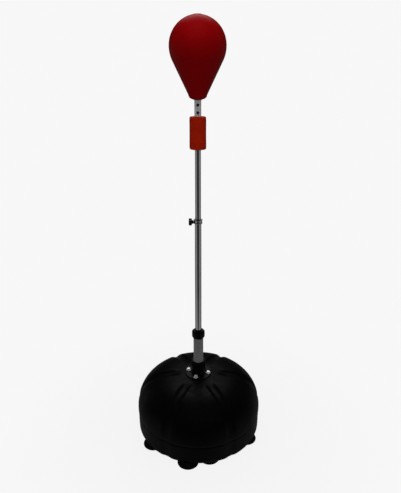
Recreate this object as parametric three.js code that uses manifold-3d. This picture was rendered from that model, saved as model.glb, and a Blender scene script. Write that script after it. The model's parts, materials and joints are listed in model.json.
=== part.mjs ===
// Free-standing reflex speed bag: a fillable floor tank, a coil spring, a telescopic pole and a bag.
// Millimetres, +Z up, origin on the floor at the centre of the tank. The front looks towards -Y.
import * as THREE from "three";
import { mergeVertices } from "three/addons/utils/BufferGeometryUtils.js";
import Module from "manifold-3d";

const wasm = await Module();
wasm.setup();

// ---- Clearances ---------------------------------------------------------------------------------
const SEAT_GAP = 0.3; // between faces that rest on each other, and round a shaft in its hole
const PLUG_GAP = 1.5; // between a spring plug and the coil round it

// ---- Spring -------------------------------------------------------------------------------------
const WIRE_RADIUS = 2.6;
const SPRING_RADIUS = 17; // to the wire's centre
const SPRING_LENGTH = 174; // end to end
const SPRING_TURNS = 30;
const SPRING_FOOT_HEIGHT = 6; // seat below the spring
const PLUG_LENGTH = 38; // plug inside each end of the spring
const PLUG_CHAMFER = 3;
const SPRING_OUTER = SPRING_RADIUS + WIRE_RADIUS;
const SPRING_INNER = SPRING_RADIUS - WIRE_RADIUS;
const SPRING_CAP_WALL = 5.3;
const SPRING_CAP_RADIUS = SPRING_OUTER + SEAT_GAP + SPRING_CAP_WALL;
const SPRING_CAP_HEIGHT = 30;
const SPRING_CAP_ROOF = 5;
const SPRING_CAP_CHAMFER = 5;

// ---- Flange, cup and bolts ----------------------------------------------------------------------
const LOWER_CUP_WALL = 7.6;
const LOWER_CUP_RADIUS = SPRING_OUTER + SEAT_GAP + LOWER_CUP_WALL;
const LOWER_CUP_HEIGHT = 53;
const LOWER_CUP_FOOT = 2; // how far the cup's foot spreads
const FLANGE_THICKNESS = 4;
const BOLT_STANDOFF = 13.5; // from the cup's side to a bolt's axis
const BOLT_CIRCLE_RADIUS = LOWER_CUP_RADIUS + BOLT_STANDOFF;
const BOLT_ANGLE = 75; // first bolt, anticlockwise from +X
const BOLT_COUNT = 4;
const BOLT_RADIUS = 4;
const BOLT_LENGTH = 22;
const BOLT_HEAD_RADIUS = 7.5;
const BOLT_HEAD_HEIGHT = 5.3;
const WASHER_RADIUS = 8.5;
const WASHER_THICKNESS = 1.6;
const INSERT_RADIUS = 6.5;
const INSERT_LENGTH = 14;
const FLANGE_MARGIN = 11; // from a bolt's axis to the flange's edge
const FLANGE_RADIUS = BOLT_CIRCLE_RADIUS + FLANGE_MARGIN;

// ---- Tank ---------------------------------------------------------------------------------------
const TANK_RADIUS = 245; // to the crest of a lobe
const TANK_HEIGHT = 233; // floor to the flat top
const TANK_FLAT_MARGIN = 5; // flat top round the flange
const TANK_FLAT_RADIUS = FLANGE_RADIUS + TANK_FLAT_MARGIN;
const TANK_WALL = 4;
const TANK_BULGE = 0.82; // power of the dome's superellipse
const TANK_CORNER = 10; // radius of the bottom edge
const GROUND_CLEARANCE = 14; // floor to the tank's underside
const PARTING_HEIGHT = 88; // widest level, where the two halves of the mould meet
const PARTING_GROOVE = 2.5;
const SHOULDER_RISE = 8; // from the parting line to the foot of the dome
const LOWER_TAPER = 3; // how far the wall draws in between the parting line and the underside
const LOBES = 6;
const CHANNEL_DEPTH = 7.5; // radial channels between the lobes
const CHANNEL_FLOOR = 7; // half-width of a channel's floor
const CHANNEL_MOUTH = 22; // half-width of a channel's mouth
const CHANNEL_START = 8; // from the flat's edge to where a channel begins
const CHANNEL_FULL = 60; // from the flat's edge, and up the wall, to where it has its full depth
const CHANNEL_RISE = 6; // from the parting line to where a channel begins to deepen
const CHANNEL_LOW_SHARE = 0.49; // share of the depth below that level
const CHANNEL_HIGH_SHARE = 1.4; // share of the depth on the wall above it
const CHANNEL_TILT = 0.6; // how much less a steep wall is pressed downwards

// ---- Suction cups -------------------------------------------------------------------------------
const CUP_RADIUS = 40;
const CUP_GAP = 2.9; // between the two cups of a pair
const CUP_LIP = 2.5;
const CUP_STEM_RADIUS = 7;
const CUP_STEM_RISE = 12; // into the tank's underside
const CUP_PAIR_INSETS = [26, 49]; // from the underside's edge to each cup's centre
const CUP_PAIR_ANGLE = 259.5; // angles run anticlockwise from +X
const SINGLE_CUPS = [
  { inset: 34, angle: 334 },
  { inset: 31, angle: 214 },
];
const CUP_SETS = 2;

// ---- Filler -------------------------------------------------------------------------------------
const FILLER_INSET = 97; // from the tank's widest level to the filler's centre
const FILLER_Y = TANK_RADIUS - FILLER_INSET;
const FILLER_POCKET_RADIUS = 28;
const FILLER_POCKET_DEPTH = 21;
const FILLER_POCKET_FLOOR = TANK_HEIGHT - FILLER_POCKET_DEPTH;
const FILLER_HOLE_RADIUS = 16;
const FILLER_CAP_RADIUS = 23;
const FILLER_CAP_HEIGHT = 9;
const FILLER_PLUG_DEPTH = 10;
const GASKET_HEIGHT = 2;

// ---- Pole ---------------------------------------------------------------------------------------
const UPPER_TUBE_RADIUS = 11;
const UPPER_TUBE_WALL = 1;
const UPPER_TUBE_LENGTH = 601;
const LOWER_TUBE_WALL = 1.2;
const LOWER_TUBE_RADIUS = UPPER_TUBE_RADIUS + SEAT_GAP + LOWER_TUBE_WALL;
const LOWER_TUBE_LENGTH = 458;
const TUBE_OVERLAP = 160; // upper tube inside the lower one
const COLLAR_WALL = 4;
const COLLAR_RADIUS = LOWER_TUBE_RADIUS + COLLAR_WALL;
const COLLAR_HEIGHT = 17;
const COLLAR_SKIRT = 11; // collar below the lower tube's top
const COLLAR_LIP = 1.6;
const COLLAR_CHAMFER = 1.5;
const BUSH_HEIGHT = 3.6;
const STUD_RADIUS = 3;
const STUD_DROP = 5; // stud below the lower tube's top
const STUD_LENGTH = 20;
const KNOB_RADIUS = 14;
const KNOB_WIDTH = 17;
const KNOB_LOBES = 6;
const KNOB_SCALLOP = 1.4; // half the depth between two lobes
const KNOB_BEVEL = 1;
const KNOB_HUB_RADIUS = 7;
const KNOB_HUB_HEIGHT = 5;
const KNOB_WASHER_THICKNESS = 1.2;
const KNOB_WASHER_RADIUS = 7.5;
const GLIDE_FOOT = 4;
const GLIDE_PLUG = 14;

// ---- Bag ----------------------------------------------------------------------------------------
const SLEEVE_RADIUS = 30.5;
const SLEEVE_LENGTH = 118;
const SLEEVE_CORNER = 7;
const STEM_WALL = 0.95;
const STEM_LENGTH = 89;
const STEM_INTO_BAG = 26;
const STEM_LAP = 52; // upper tube inside the stem
const STEM_SCREW_HEIGHTS = [14, 41]; // above the stem's foot
const SCREW_RADIUS = 2.4;
const SCREW_HEAD_RADIUS = 5.4;
const BAG_RADIUS = 100;
const BAG_CROWN = 104.7; // from the widest level to the top
const BAG_SHOULDER = 119.5; // radius of the arc that leads into the cone
const BAG_DROP = 180.5; // from the widest level to the neck's foot
const BAG_NECK_RADIUS = 33; // where the cone meets the rounded neck
const BAG_NECK = 12; // height of the rounded neck below the cone
const BAG_NECK_ROUND = 5;
const BAG_SKIN = 3.5;
const BLADDER_SKIN = 2;
const SOCKET_DISC_RADIUS = 22;
const SOCKET_DISC_THICKNESS = 4;
const VALVE_RADIUS = 4;
const VALVE_LENGTH = 9;
const VALVE_SINK = 0.4; // below the crown

// ---- Facets -------------------------------------------------------------------------------------
const TANK_SIDES = 84;
const TANK_STEPS = 13;
const TANK_LINING_SIDES = 36;
const TANK_LINING_STEPS = 8;
const WIRE_SIDES = 6;
const STEPS_PER_TURN = 10;
const BAG_SIDES = 40;
const BAG_STEPS = 12;
const PEAR_SIDES = 28; // the cover's lining and the bladder share their sides and steps, so they nest
const PEAR_STEPS = 8;

// ---- Heights worked out from the sizes above ----------------------------------------------------
const FLANGE_TOP = TANK_HEIGHT + SEAT_GAP + FLANGE_THICKNESS;
const SEAT_TOP = FLANGE_TOP + SEAT_GAP + SPRING_FOOT_HEIGHT;
const SPRING_BOTTOM = SEAT_TOP + SEAT_GAP;
const SPRING_TOP = SPRING_BOTTOM + SPRING_LENGTH;
const CAP_TOP = SPRING_TOP + SEAT_GAP + SPRING_CAP_ROOF;
const POLE_FOOT = SPRING_TOP + SEAT_GAP;
const LOWER_TUBE_TOP = POLE_FOOT + LOWER_TUBE_LENGTH;
const UPPER_TUBE_FOOT = LOWER_TUBE_TOP - TUBE_OVERLAP;
const UPPER_TUBE_TOP = UPPER_TUBE_FOOT + UPPER_TUBE_LENGTH;
const STEM_FOOT = UPPER_TUBE_TOP - STEM_LAP;
const STEM_TOP = STEM_FOOT + STEM_LENGTH;
const STEM_RADIUS = UPPER_TUBE_RADIUS + SEAT_GAP + STEM_WALL;
const BAG_FOOT = STEM_TOP - STEM_INTO_BAG;
const BAG_WIDEST = BAG_FOOT + BAG_DROP;
const BAG_TOP = BAG_WIDEST + BAG_CROWN;

// The cone runs from the neck to where it touches the shoulder's arc.
const coneRun = BAG_NECK_RADIUS - (BAG_RADIUS - BAG_SHOULDER);
const coneRise = BAG_DROP - BAG_NECK;
const coneReach = Math.hypot(coneRun, coneRise);
const BAG_CONE_ANGLE = Math.atan2(coneRise, coneRun) - Math.acos(BAG_SHOULDER / coneReach);

// ---- Materials ----------------------------------------------------------------------------------
const blackPlastic = { color: 0x0b0b0c, roughness: 0.45, metalness: 0 };
const blackRubber = { color: 0x101010, roughness: 0.8, metalness: 0 };
const blackSteel = { color: 0x0c0c0d, roughness: 0.4, metalness: 0.6 };
const brightSteel = { color: 0xd8dadc, roughness: 0.25, metalness: 1 };
const chrome = { color: 0xc8cacc, roughness: 0.08, metalness: 1 };
const springSteel = { color: 0x77797b, roughness: 0.35, metalness: 1 };
const brass = { color: 0xb08d3c, roughness: 0.35, metalness: 1 };
const redLeather = { color: 0x7d0309, roughness: 0.45, metalness: 0 };
const redFoam = { color: 0x9c1c04, roughness: 0.85, metalness: 0 };
const latex = { color: 0x2a2522, roughness: 0.7, metalness: 0 };

// ---- Helpers ------------------------------------------------------------------------------------
const stand = new THREE.Group();

function addPiece(name, geometry, look, parent = stand) {
  const mesh = new THREE.Mesh(geometry, new THREE.MeshStandardMaterial(look));
  mesh.name = name;
  parent.add(mesh);
  return mesh;
}

function bare(geometry) {
  const copy = geometry.clone();
  copy.deleteAttribute("normal");
  copy.deleteAttribute("uv");
  return mergeVertices(copy, 1e-3);
}

function toSolid(geometry) {
  const merged = bare(geometry);
  return new wasm.Manifold(
    new wasm.Mesh({
      numProp: 3,
      vertProperties: merged.attributes.position.array,
      triVerts: new Uint32Array(merged.index.array),
    }),
  );
}

function toGeometry(solid) {
  const mesh = solid.getMesh();
  const geometry = new THREE.BufferGeometry();
  geometry.setAttribute("position", new THREE.BufferAttribute(mesh.vertProperties, 3));
  geometry.setIndex(new THREE.BufferAttribute(mesh.triVerts, 1));
  return geometry;
}

function cutAll(geometry, cutters) {
  return toGeometry(cutters.reduce((solid, cutter) => solid.subtract(toSolid(cutter)), toSolid(geometry)));
}

// A body of revolution about +Z from [radius, height] points that climb round its outside.
function revolve(points, segments = 24) {
  const outline = points.map(([radius, height]) => new THREE.Vector2(radius, height));
  return bare(new THREE.LatheGeometry(outline, segments).rotateX(Math.PI / 2));
}

function rod(radius, bottom, top, segments = 24) {
  return revolve([[0, bottom], [radius, bottom], [radius, top], [0, top]], segments);
}

function pipe(inner, outer, bottom, top, segments = 28) {
  return revolve(
    [[inner, bottom], [outer, bottom], [outer, top], [inner, top], [inner, bottom]],
    segments,
  );
}

// Points on an arc from one angle to another, in radians, anticlockwise from the radius axis.
function arc(centreRadius, centreHeight, radius, from, to, steps) {
  return Array.from({ length: steps + 1 }, (_, i) => {
    const angle = from + ((to - from) * i) / steps;
    return [centreRadius + radius * Math.cos(angle), centreHeight + radius * Math.sin(angle)];
  });
}

function onCircle(radius, degrees) {
  const angle = THREE.MathUtils.degToRad(degrees);
  return [radius * Math.cos(angle), radius * Math.sin(angle)];
}

// ---- Tank ---------------------------------------------------------------------------------------
// The tank's outline, inset by a wall, from the centre of its underside to the centre of its top.
function tankOutline(inset, domeSteps) {
  const widest = TANK_RADIUS - inset;
  const floorRadius = widest - LOWER_TAPER;
  const corner = TANK_CORNER - inset / 2;
  const bottom = GROUND_CLEARANCE + inset;
  const low = arc(floorRadius - corner, bottom + corner, corner, -Math.PI / 2, 0, 3);
  const groove = [
    [widest - 1, PARTING_HEIGHT - PARTING_GROOVE],
    [widest - PARTING_GROOVE, PARTING_HEIGHT],
    [widest, PARTING_HEIGHT + PARTING_GROOVE],
  ];
  const shoulder = PARTING_HEIGHT + SHOULDER_RISE;
  const dome = Array.from({ length: domeSteps + 1 }, (_, i) => {
    const turn = (Math.PI / 2) * (i / domeSteps);
    return [
      TANK_FLAT_RADIUS + (widest - TANK_FLAT_RADIUS) * Math.cos(turn) ** TANK_BULGE,
      shoulder + (TANK_HEIGHT - inset - shoulder) * Math.sin(turn) ** TANK_BULGE,
    ];
  });
  return [[0, bottom], ...low, ...groove, ...dome, [0, TANK_HEIGHT - inset]];
}

// Presses the radial channels into a body of revolution.
function pressChannels(geometry) {
  const { clamp, lerp, smoothstep } = THREE.MathUtils;
  const position = geometry.attributes.position;
  const point = new THREE.Vector3();
  const sector = (Math.PI * 2) / LOBES;
  for (let i = 0; i < position.count; i++) {
    point.fromBufferAttribute(position, i);
    const radius = Math.hypot(point.x, point.y);
    const angle = Math.atan2(point.x, -point.y) + sector / 2;
    const fromChannel = Math.abs(angle - Math.round(angle / sector) * sector) * radius;
    const across = smoothstep(CHANNEL_MOUTH - fromChannel, 0, CHANNEL_MOUTH - CHANNEL_FLOOR);
    const outward = smoothstep(radius - TANK_FLAT_RADIUS, CHANNEL_START, CHANNEL_FULL);
    const upward = smoothstep(point.z - PARTING_HEIGHT, CHANNEL_RISE, CHANNEL_FULL);
    const steep = clamp((TANK_HEIGHT - point.z) / TANK_HEIGHT, 0, 1);
    const press = CHANNEL_DEPTH * across * outward;
    const inward = press * lerp(CHANNEL_LOW_SHARE, CHANNEL_HIGH_SHARE, upward) * steep;
    const shrink = radius > 0 ? (radius - inward) / radius : 1;
    point.z -= press * upward * (1 - steep * CHANNEL_TILT);
    position.setXYZ(i, point.x * shrink, point.y * shrink, point.z);
  }
  return geometry;
}

// The second cup of a pair stands beside the first, whatever their sizes.
const underside = TANK_RADIUS - LOWER_TAPER;
const [outerReach, innerReach] = CUP_PAIR_INSETS.map((inset) => underside - inset);
const pairSpan = CUP_RADIUS * 2 + CUP_GAP;
const pairTurn = THREE.MathUtils.radToDeg(
  Math.acos((outerReach ** 2 + innerReach ** 2 - pairSpan ** 2) / (2 * outerReach * innerReach)),
);
const cupPlaces = [];
for (let set = 0; set < CUP_SETS; set++) {
  const turn = (360 / CUP_SETS) * set;
  cupPlaces.push(onCircle(outerReach, CUP_PAIR_ANGLE + turn));
  cupPlaces.push(onCircle(innerReach, CUP_PAIR_ANGLE + pairTurn + turn));
  for (const { inset, angle } of SINGLE_CUPS) {
    cupPlaces.push(onCircle(underside - inset, angle + turn));
  }
}
const boltPlaces = Array.from({ length: BOLT_COUNT }, (_, i) =>
  onCircle(BOLT_CIRCLE_RADIUS, BOLT_ANGLE + (360 / BOLT_COUNT) * i),
);

function buildTank() {
  const insertFloor = TANK_HEIGHT - INSERT_LENGTH - BOLT_RADIUS;
  const socketTop = GROUND_CLEARANCE + CUP_STEM_RISE + SEAT_GAP;
  const below = GROUND_CLEARANCE - 1;
  const above = TANK_HEIGHT + 1;
  const atCups = (radius, top) => cupPlaces.map(([x, y]) => rod(radius, below, top, 16).translate(x, y, 0));
  const atBolts = (radius, floor) =>
    boltPlaces.map(([x, y]) => rod(radius, floor, above, 20).translate(x, y, 0));
  const sockets = atCups(CUP_STEM_RADIUS + SEAT_GAP, socketTop);
  const socketWalls = atCups(CUP_STEM_RADIUS + TANK_WALL, socketTop + TANK_WALL);
  const insertHoles = atBolts(INSERT_RADIUS + SEAT_GAP, insertFloor);
  const insertWalls = atBolts(INSERT_RADIUS + TANK_WALL, insertFloor - TANK_WALL);
  const pocket = rod(FILLER_POCKET_RADIUS, FILLER_POCKET_FLOOR, above, 32).translate(0, FILLER_Y, 0);
  const pocketWall = rod(FILLER_POCKET_RADIUS + TANK_WALL, FILLER_POCKET_FLOOR - TANK_WALL, above, 32);
  const filler = rod(FILLER_HOLE_RADIUS, FILLER_POCKET_FLOOR - TANK_WALL * 2, above, 32);
  const lining = pressChannels(revolve(tankOutline(TANK_WALL, TANK_LINING_STEPS), TANK_LINING_SIDES));
  const hollow = cutAll(lining, [
    ...socketWalls,
    ...insertWalls,
    pocketWall.translate(0, FILLER_Y, 0),
  ]);
  const body = pressChannels(revolve(tankOutline(0, TANK_STEPS), TANK_SIDES));
  return cutAll(body, [hollow, ...sockets, ...insertHoles, pocket, filler.translate(0, FILLER_Y, 0)]);
}
addPiece("base_tank", buildTank(), blackPlastic);

// ---- Suction cups -------------------------------------------------------------------------------
function cupGeometry() {
  const top = GROUND_CLEARANCE - SEAT_GAP;
  return revolve(
    [
      [0, 4],
      [CUP_RADIUS * 0.62, 2.6],
      [CUP_RADIUS - CUP_LIP, 0],
      [CUP_RADIUS, 0],
      [CUP_RADIUS, 1.8],
      [CUP_RADIUS * 0.8, 6],
      [CUP_RADIUS * 0.62, top],
      [CUP_STEM_RADIUS, top],
      [CUP_STEM_RADIUS, GROUND_CLEARANCE + CUP_STEM_RISE - 2],
      [CUP_STEM_RADIUS - 2, GROUND_CLEARANCE + CUP_STEM_RISE],
      [0, GROUND_CLEARANCE + CUP_STEM_RISE],
    ],
    16,
  );
}
cupPlaces.forEach(([x, y], i) => {
  addPiece(`suction_cup_${i + 1}`, cupGeometry(), blackRubber).position.set(x, y, 0);
});

// ---- Filler cap and gasket ----------------------------------------------------------------------
const filler = new THREE.Group();
filler.position.set(0, FILLER_Y, FILLER_POCKET_FLOOR + SEAT_GAP);
stand.add(filler);
const plugRadius = FILLER_HOLE_RADIUS - SEAT_GAP;
addPiece(
  "filler_gasket",
  pipe(FILLER_HOLE_RADIUS + 0.5, FILLER_CAP_RADIUS - 1, 0, GASKET_HEIGHT),
  blackRubber,
  filler,
);
const capBottom = GASKET_HEIGHT + SEAT_GAP;
const capRim = capBottom + FILLER_CAP_HEIGHT;
addPiece(
  "filler_cap",
  cutAll(
    revolve([
      [0, -FILLER_PLUG_DEPTH],
      [plugRadius, -FILLER_PLUG_DEPTH],
      [plugRadius, capBottom],
      [FILLER_CAP_RADIUS, capBottom],
      [FILLER_CAP_RADIUS, capRim - 2],
      [FILLER_CAP_RADIUS - 2, capRim],
      [0, capRim],
    ]),
    [-1, 1].map((side) => new THREE.BoxGeometry(14, 24, 12).translate(side * 11, 0, capRim + 1)),
  ),
  blackPlastic,
  filler,
);

// ---- Flange, bolts, washers and inserts ---------------------------------------------------------
const flangeHoles = boltPlaces.map(([x, y]) =>
  rod(BOLT_RADIUS + SEAT_GAP, TANK_HEIGHT - 1, FLANGE_TOP + 1).translate(x, y, 0),
);
addPiece(
  "flange_plate",
  cutAll(
    revolve(
      [
        [0, TANK_HEIGHT + SEAT_GAP],
        [FLANGE_RADIUS, TANK_HEIGHT + SEAT_GAP],
        [FLANGE_RADIUS, FLANGE_TOP - 1],
        [FLANGE_RADIUS - 1, FLANGE_TOP],
        [0, FLANGE_TOP],
      ],
      36,
    ),
    flangeHoles,
  ),
  blackSteel,
);

const headBottom = FLANGE_TOP + SEAT_GAP + WASHER_THICKNESS + SEAT_GAP;
function boltGeometry() {
  const tip = headBottom - BOLT_LENGTH;
  const head = rod(BOLT_HEAD_RADIUS, headBottom, headBottom + BOLT_HEAD_HEIGHT, 6);
  const shank = revolve(
    [
      [0, tip],
      [BOLT_RADIUS - 1, tip],
      [BOLT_RADIUS, tip + 1],
      [BOLT_RADIUS, headBottom + 1],
      [0, headBottom + 1],
    ],
    16,
  );
  return toGeometry(toSolid(head).add(toSolid(shank)));
}
boltPlaces.forEach(([x, y], i) => {
  const insertTop = TANK_HEIGHT;
  const insert = pipe(BOLT_RADIUS + SEAT_GAP, INSERT_RADIUS, insertTop - INSERT_LENGTH, insertTop, 20);
  const washer = pipe(
    BOLT_RADIUS + SEAT_GAP,
    WASHER_RADIUS,
    FLANGE_TOP + SEAT_GAP,
    FLANGE_TOP + SEAT_GAP + WASHER_THICKNESS,
    20,
  );
  addPiece(`flange_bolt_${i + 1}`, boltGeometry(), brightSteel).position.set(x, y, 0);
  addPiece(`flange_washer_${i + 1}`, washer, brightSteel).position.set(x, y, 0);
  addPiece(`threaded_insert_${i + 1}`, insert, brass).position.set(x, y, 0);
});

// ---- Spring and what holds its ends -------------------------------------------------------------
const bore = SPRING_OUTER + SEAT_GAP;
const cupFoot = FLANGE_TOP + SEAT_GAP;
const cupTop = cupFoot + LOWER_CUP_HEIGHT;
addPiece(
  "lower_spring_cup",
  revolve(
    [
      [bore, cupFoot],
      [LOWER_CUP_RADIUS + LOWER_CUP_FOOT, cupFoot],
      [LOWER_CUP_RADIUS + LOWER_CUP_FOOT, cupFoot + 3],
      [LOWER_CUP_RADIUS, cupFoot + 6],
      [LOWER_CUP_RADIUS, cupTop - 3],
      [LOWER_CUP_RADIUS - 3, cupTop],
      [bore, cupTop],
      [bore, cupFoot],
    ],
    28,
  ),
  blackSteel,
);

const plugReach = SPRING_INNER - PLUG_GAP;
addPiece(
  "lower_spring_plug",
  revolve([
    [0, cupFoot],
    [bore - SEAT_GAP, cupFoot],
    [bore - SEAT_GAP, SEAT_TOP],
    [plugReach, SEAT_TOP],
    [plugReach, SEAT_TOP + PLUG_LENGTH - PLUG_CHAMFER],
    [plugReach - PLUG_CHAMFER, SEAT_TOP + PLUG_LENGTH],
    [0, SEAT_TOP + PLUG_LENGTH],
  ]),
  blackSteel,
);

class Helix extends THREE.Curve {
  getPoint(t, target = new THREE.Vector3()) {
    const angle = t * SPRING_TURNS * Math.PI * 2;
    const climb = SPRING_LENGTH - WIRE_RADIUS * 2;
    return target.set(
      SPRING_RADIUS * Math.cos(angle),
      SPRING_RADIUS * Math.sin(angle),
      SPRING_BOTTOM + WIRE_RADIUS + climb * t,
    );
  }
}
const wireSection = new THREE.Shape(
  Array.from({ length: WIRE_SIDES }, (_, i) => {
    const [x, y] = onCircle(WIRE_RADIUS, (360 / WIRE_SIDES) * i);
    return new THREE.Vector2(x, y);
  }),
);
addPiece(
  "coil_spring",
  new THREE.ExtrudeGeometry(wireSection, {
    steps: SPRING_TURNS * STEPS_PER_TURN,
    extrudePath: new Helix(),
  }),
  springSteel,
);

const spigotRadius = UPPER_TUBE_RADIUS;
addPiece(
  "upper_spring_plug",
  revolve([
    [0, SPRING_TOP - PLUG_LENGTH],
    [plugReach - PLUG_CHAMFER, SPRING_TOP - PLUG_LENGTH],
    [plugReach, SPRING_TOP - PLUG_LENGTH + PLUG_CHAMFER],
    [plugReach, SPRING_TOP],
    [spigotRadius, SPRING_TOP],
    [spigotRadius, SPRING_TOP + PLUG_LENGTH],
    [0, SPRING_TOP + PLUG_LENGTH],
  ]),
  blackSteel,
);

const capFoot = CAP_TOP - SPRING_CAP_HEIGHT;
addPiece(
  "spring_cap",
  revolve(
    [
      [bore, capFoot],
      [SPRING_CAP_RADIUS - SPRING_CAP_CHAMFER / 2, capFoot],
      [SPRING_CAP_RADIUS, capFoot + SPRING_CAP_CHAMFER],
      [SPRING_CAP_RADIUS, CAP_TOP - SPRING_CAP_CHAMFER],
      [SPRING_CAP_RADIUS - SPRING_CAP_CHAMFER, CAP_TOP],
      [LOWER_TUBE_RADIUS + SEAT_GAP, CAP_TOP],
      [LOWER_TUBE_RADIUS + SEAT_GAP, CAP_TOP - SPRING_CAP_ROOF],
      [bore, CAP_TOP - SPRING_CAP_ROOF],
      [bore, capFoot],
    ],
    28,
  ),
  blackSteel,
);

// ---- Lower tube, collar and clamp knob ----------------------------------------------------------
const studHeight = LOWER_TUBE_TOP - STUD_DROP;
function sideHole(radius, from, to, height) {
  return rod(radius, from, to, 16).rotateY(-Math.PI / 2).translate(0, 0, height);
}
const studHole = () => sideHole(STUD_RADIUS + SEAT_GAP, UPPER_TUBE_RADIUS - 1, COLLAR_RADIUS + 2, studHeight);
addPiece(
  "lower_tube",
  cutAll(pipe(UPPER_TUBE_RADIUS + SEAT_GAP, LOWER_TUBE_RADIUS, POLE_FOOT, LOWER_TUBE_TOP), [studHole()]),
  chrome,
);

const collarFoot = LOWER_TUBE_TOP - COLLAR_SKIRT;
const collarTop = collarFoot + COLLAR_HEIGHT;
const collarBore = LOWER_TUBE_RADIUS + SEAT_GAP;
addPiece(
  "clamp_collar",
  cutAll(
    revolve(
      [
        [collarBore, collarFoot],
        [COLLAR_RADIUS - COLLAR_CHAMFER, collarFoot],
        [COLLAR_RADIUS, collarFoot + COLLAR_CHAMFER],
        [COLLAR_RADIUS, collarTop - COLLAR_CHAMFER],
        [COLLAR_RADIUS - COLLAR_CHAMFER, collarTop],
        [UPPER_TUBE_RADIUS + SEAT_GAP, collarTop],
        [UPPER_TUBE_RADIUS + SEAT_GAP, collarTop - COLLAR_LIP],
        [collarBore, collarTop - COLLAR_LIP],
        [collarBore, collarFoot],
      ],
      28,
    ),
    [studHole()],
  ),
  brightSteel,
);
const bushFoot = LOWER_TUBE_TOP + SEAT_GAP;
addPiece(
  "guide_bush",
  pipe(UPPER_TUBE_RADIUS + SEAT_GAP, LOWER_TUBE_RADIUS, bushFoot, bushFoot + BUSH_HEIGHT),
  blackPlastic,
);

const clamp = new THREE.Group();
clamp.position.set(0, 0, studHeight);
clamp.rotation.y = -Math.PI / 2; // local +Z points out of the collar, towards -X
stand.add(clamp);
const studTip = UPPER_TUBE_RADIUS + SEAT_GAP;
addPiece("clamp_stud", rod(STUD_RADIUS, studTip, studTip + STUD_LENGTH, 16), brightSteel, clamp);
const knobWasherFoot = COLLAR_RADIUS + SEAT_GAP;
addPiece(
  "knob_washer",
  pipe(
    STUD_RADIUS + SEAT_GAP,
    KNOB_WASHER_RADIUS,
    knobWasherFoot,
    knobWasherFoot + KNOB_WASHER_THICKNESS,
    20,
  ),
  blackPlastic,
  clamp,
);

function knobGeometry() {
  const steps = KNOB_LOBES * 8;
  const outline = Array.from({ length: steps }, (_, i) => {
    const turn = (i / steps) * Math.PI * 2;
    const middle = KNOB_RADIUS - KNOB_BEVEL - KNOB_SCALLOP;
    const radius = middle + KNOB_SCALLOP * Math.cos(KNOB_LOBES * turn);
    return new THREE.Vector2(radius * Math.cos(turn), radius * Math.sin(turn));
  });
  const grip = new THREE.ExtrudeGeometry(new THREE.Shape(outline), {
    depth: KNOB_WIDTH - KNOB_HUB_HEIGHT - KNOB_BEVEL * 2,
    bevelThickness: KNOB_BEVEL,
    bevelSize: KNOB_BEVEL,
    bevelSegments: 1,
  }).translate(0, 0, KNOB_HUB_HEIGHT + KNOB_BEVEL);
  const neck = rod(KNOB_HUB_RADIUS, 0, KNOB_HUB_HEIGHT + KNOB_BEVEL, 24);
  const bore = rod(STUD_RADIUS + SEAT_GAP, -1, STUD_LENGTH - 5, 16);
  return cutAll(toGeometry(toSolid(grip).add(toSolid(neck))), [bore]);
}
const knobFoot = knobWasherFoot + KNOB_WASHER_THICKNESS + SEAT_GAP;
addPiece("clamp_knob", knobGeometry(), blackPlastic, clamp).position.z = knobFoot;

// ---- Upper tube, glide, sleeve and stem ---------------------------------------------------------
const screwHeights = STEM_SCREW_HEIGHTS.map((rise) => STEM_FOOT + rise);
const frontHole = (radius, height) =>
  rod(radius, UPPER_TUBE_RADIUS - 3, STEM_RADIUS + 2, 12).rotateX(Math.PI / 2).translate(0, 0, height);
const screwHoles = () => screwHeights.map((height) => frontHole(SCREW_RADIUS + SEAT_GAP, height));
const upperTubeBore = UPPER_TUBE_RADIUS - UPPER_TUBE_WALL;
addPiece(
  "upper_tube",
  cutAll(pipe(upperTubeBore, UPPER_TUBE_RADIUS, UPPER_TUBE_FOOT, UPPER_TUBE_TOP), screwHoles()),
  chrome,
);
const glideTop = UPPER_TUBE_FOOT - SEAT_GAP;
addPiece(
  "tube_glide",
  revolve([
    [0, glideTop - GLIDE_FOOT],
    [UPPER_TUBE_RADIUS - 1, glideTop - GLIDE_FOOT],
    [UPPER_TUBE_RADIUS, glideTop - GLIDE_FOOT + 1],
    [UPPER_TUBE_RADIUS, glideTop],
    [upperTubeBore - SEAT_GAP, glideTop],
    [upperTubeBore - SEAT_GAP, glideTop + GLIDE_PLUG],
    [0, glideTop + GLIDE_PLUG],
  ]),
  blackPlastic,
);

const sleeveTop = STEM_FOOT - SEAT_GAP;
const sleeveFoot = sleeveTop - SLEEVE_LENGTH;
const sleeveBore = UPPER_TUBE_RADIUS + SEAT_GAP;
const sleeveEdge = SLEEVE_RADIUS - SLEEVE_CORNER;
addPiece(
  "foam_sleeve",
  revolve(
    [
      [sleeveBore, sleeveFoot],
      ...arc(sleeveEdge, sleeveFoot + SLEEVE_CORNER, SLEEVE_CORNER, -Math.PI / 2, 0, 3),
      ...arc(sleeveEdge, sleeveTop - SLEEVE_CORNER, SLEEVE_CORNER, 0, Math.PI / 2, 3),
      [sleeveBore, sleeveTop],
      [sleeveBore, sleeveFoot],
    ],
    32,
  ),
  redFoam,
);

addPiece(
  "bag_stem",
  cutAll(pipe(UPPER_TUBE_RADIUS + SEAT_GAP, STEM_RADIUS, STEM_FOOT, STEM_TOP), screwHoles()),
  chrome,
);
screwHeights.forEach((height, i) => {
  const head = STEM_RADIUS + SEAT_GAP;
  const screw = revolve(
    [
      [0, upperTubeBore - 2],
      [SCREW_RADIUS, upperTubeBore - 2],
      [SCREW_RADIUS, head],
      [SCREW_HEAD_RADIUS, head],
      [SCREW_HEAD_RADIUS - 0.6, head + 1.6],
      [SCREW_HEAD_RADIUS - 2, head + 2.4],
      [0, head + 2.6],
    ],
    16,
  );
  const mesh = addPiece(`stem_screw_${i + 1}`, screw.rotateX(Math.PI / 2), brightSteel);
  mesh.position.z = height;
});

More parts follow.
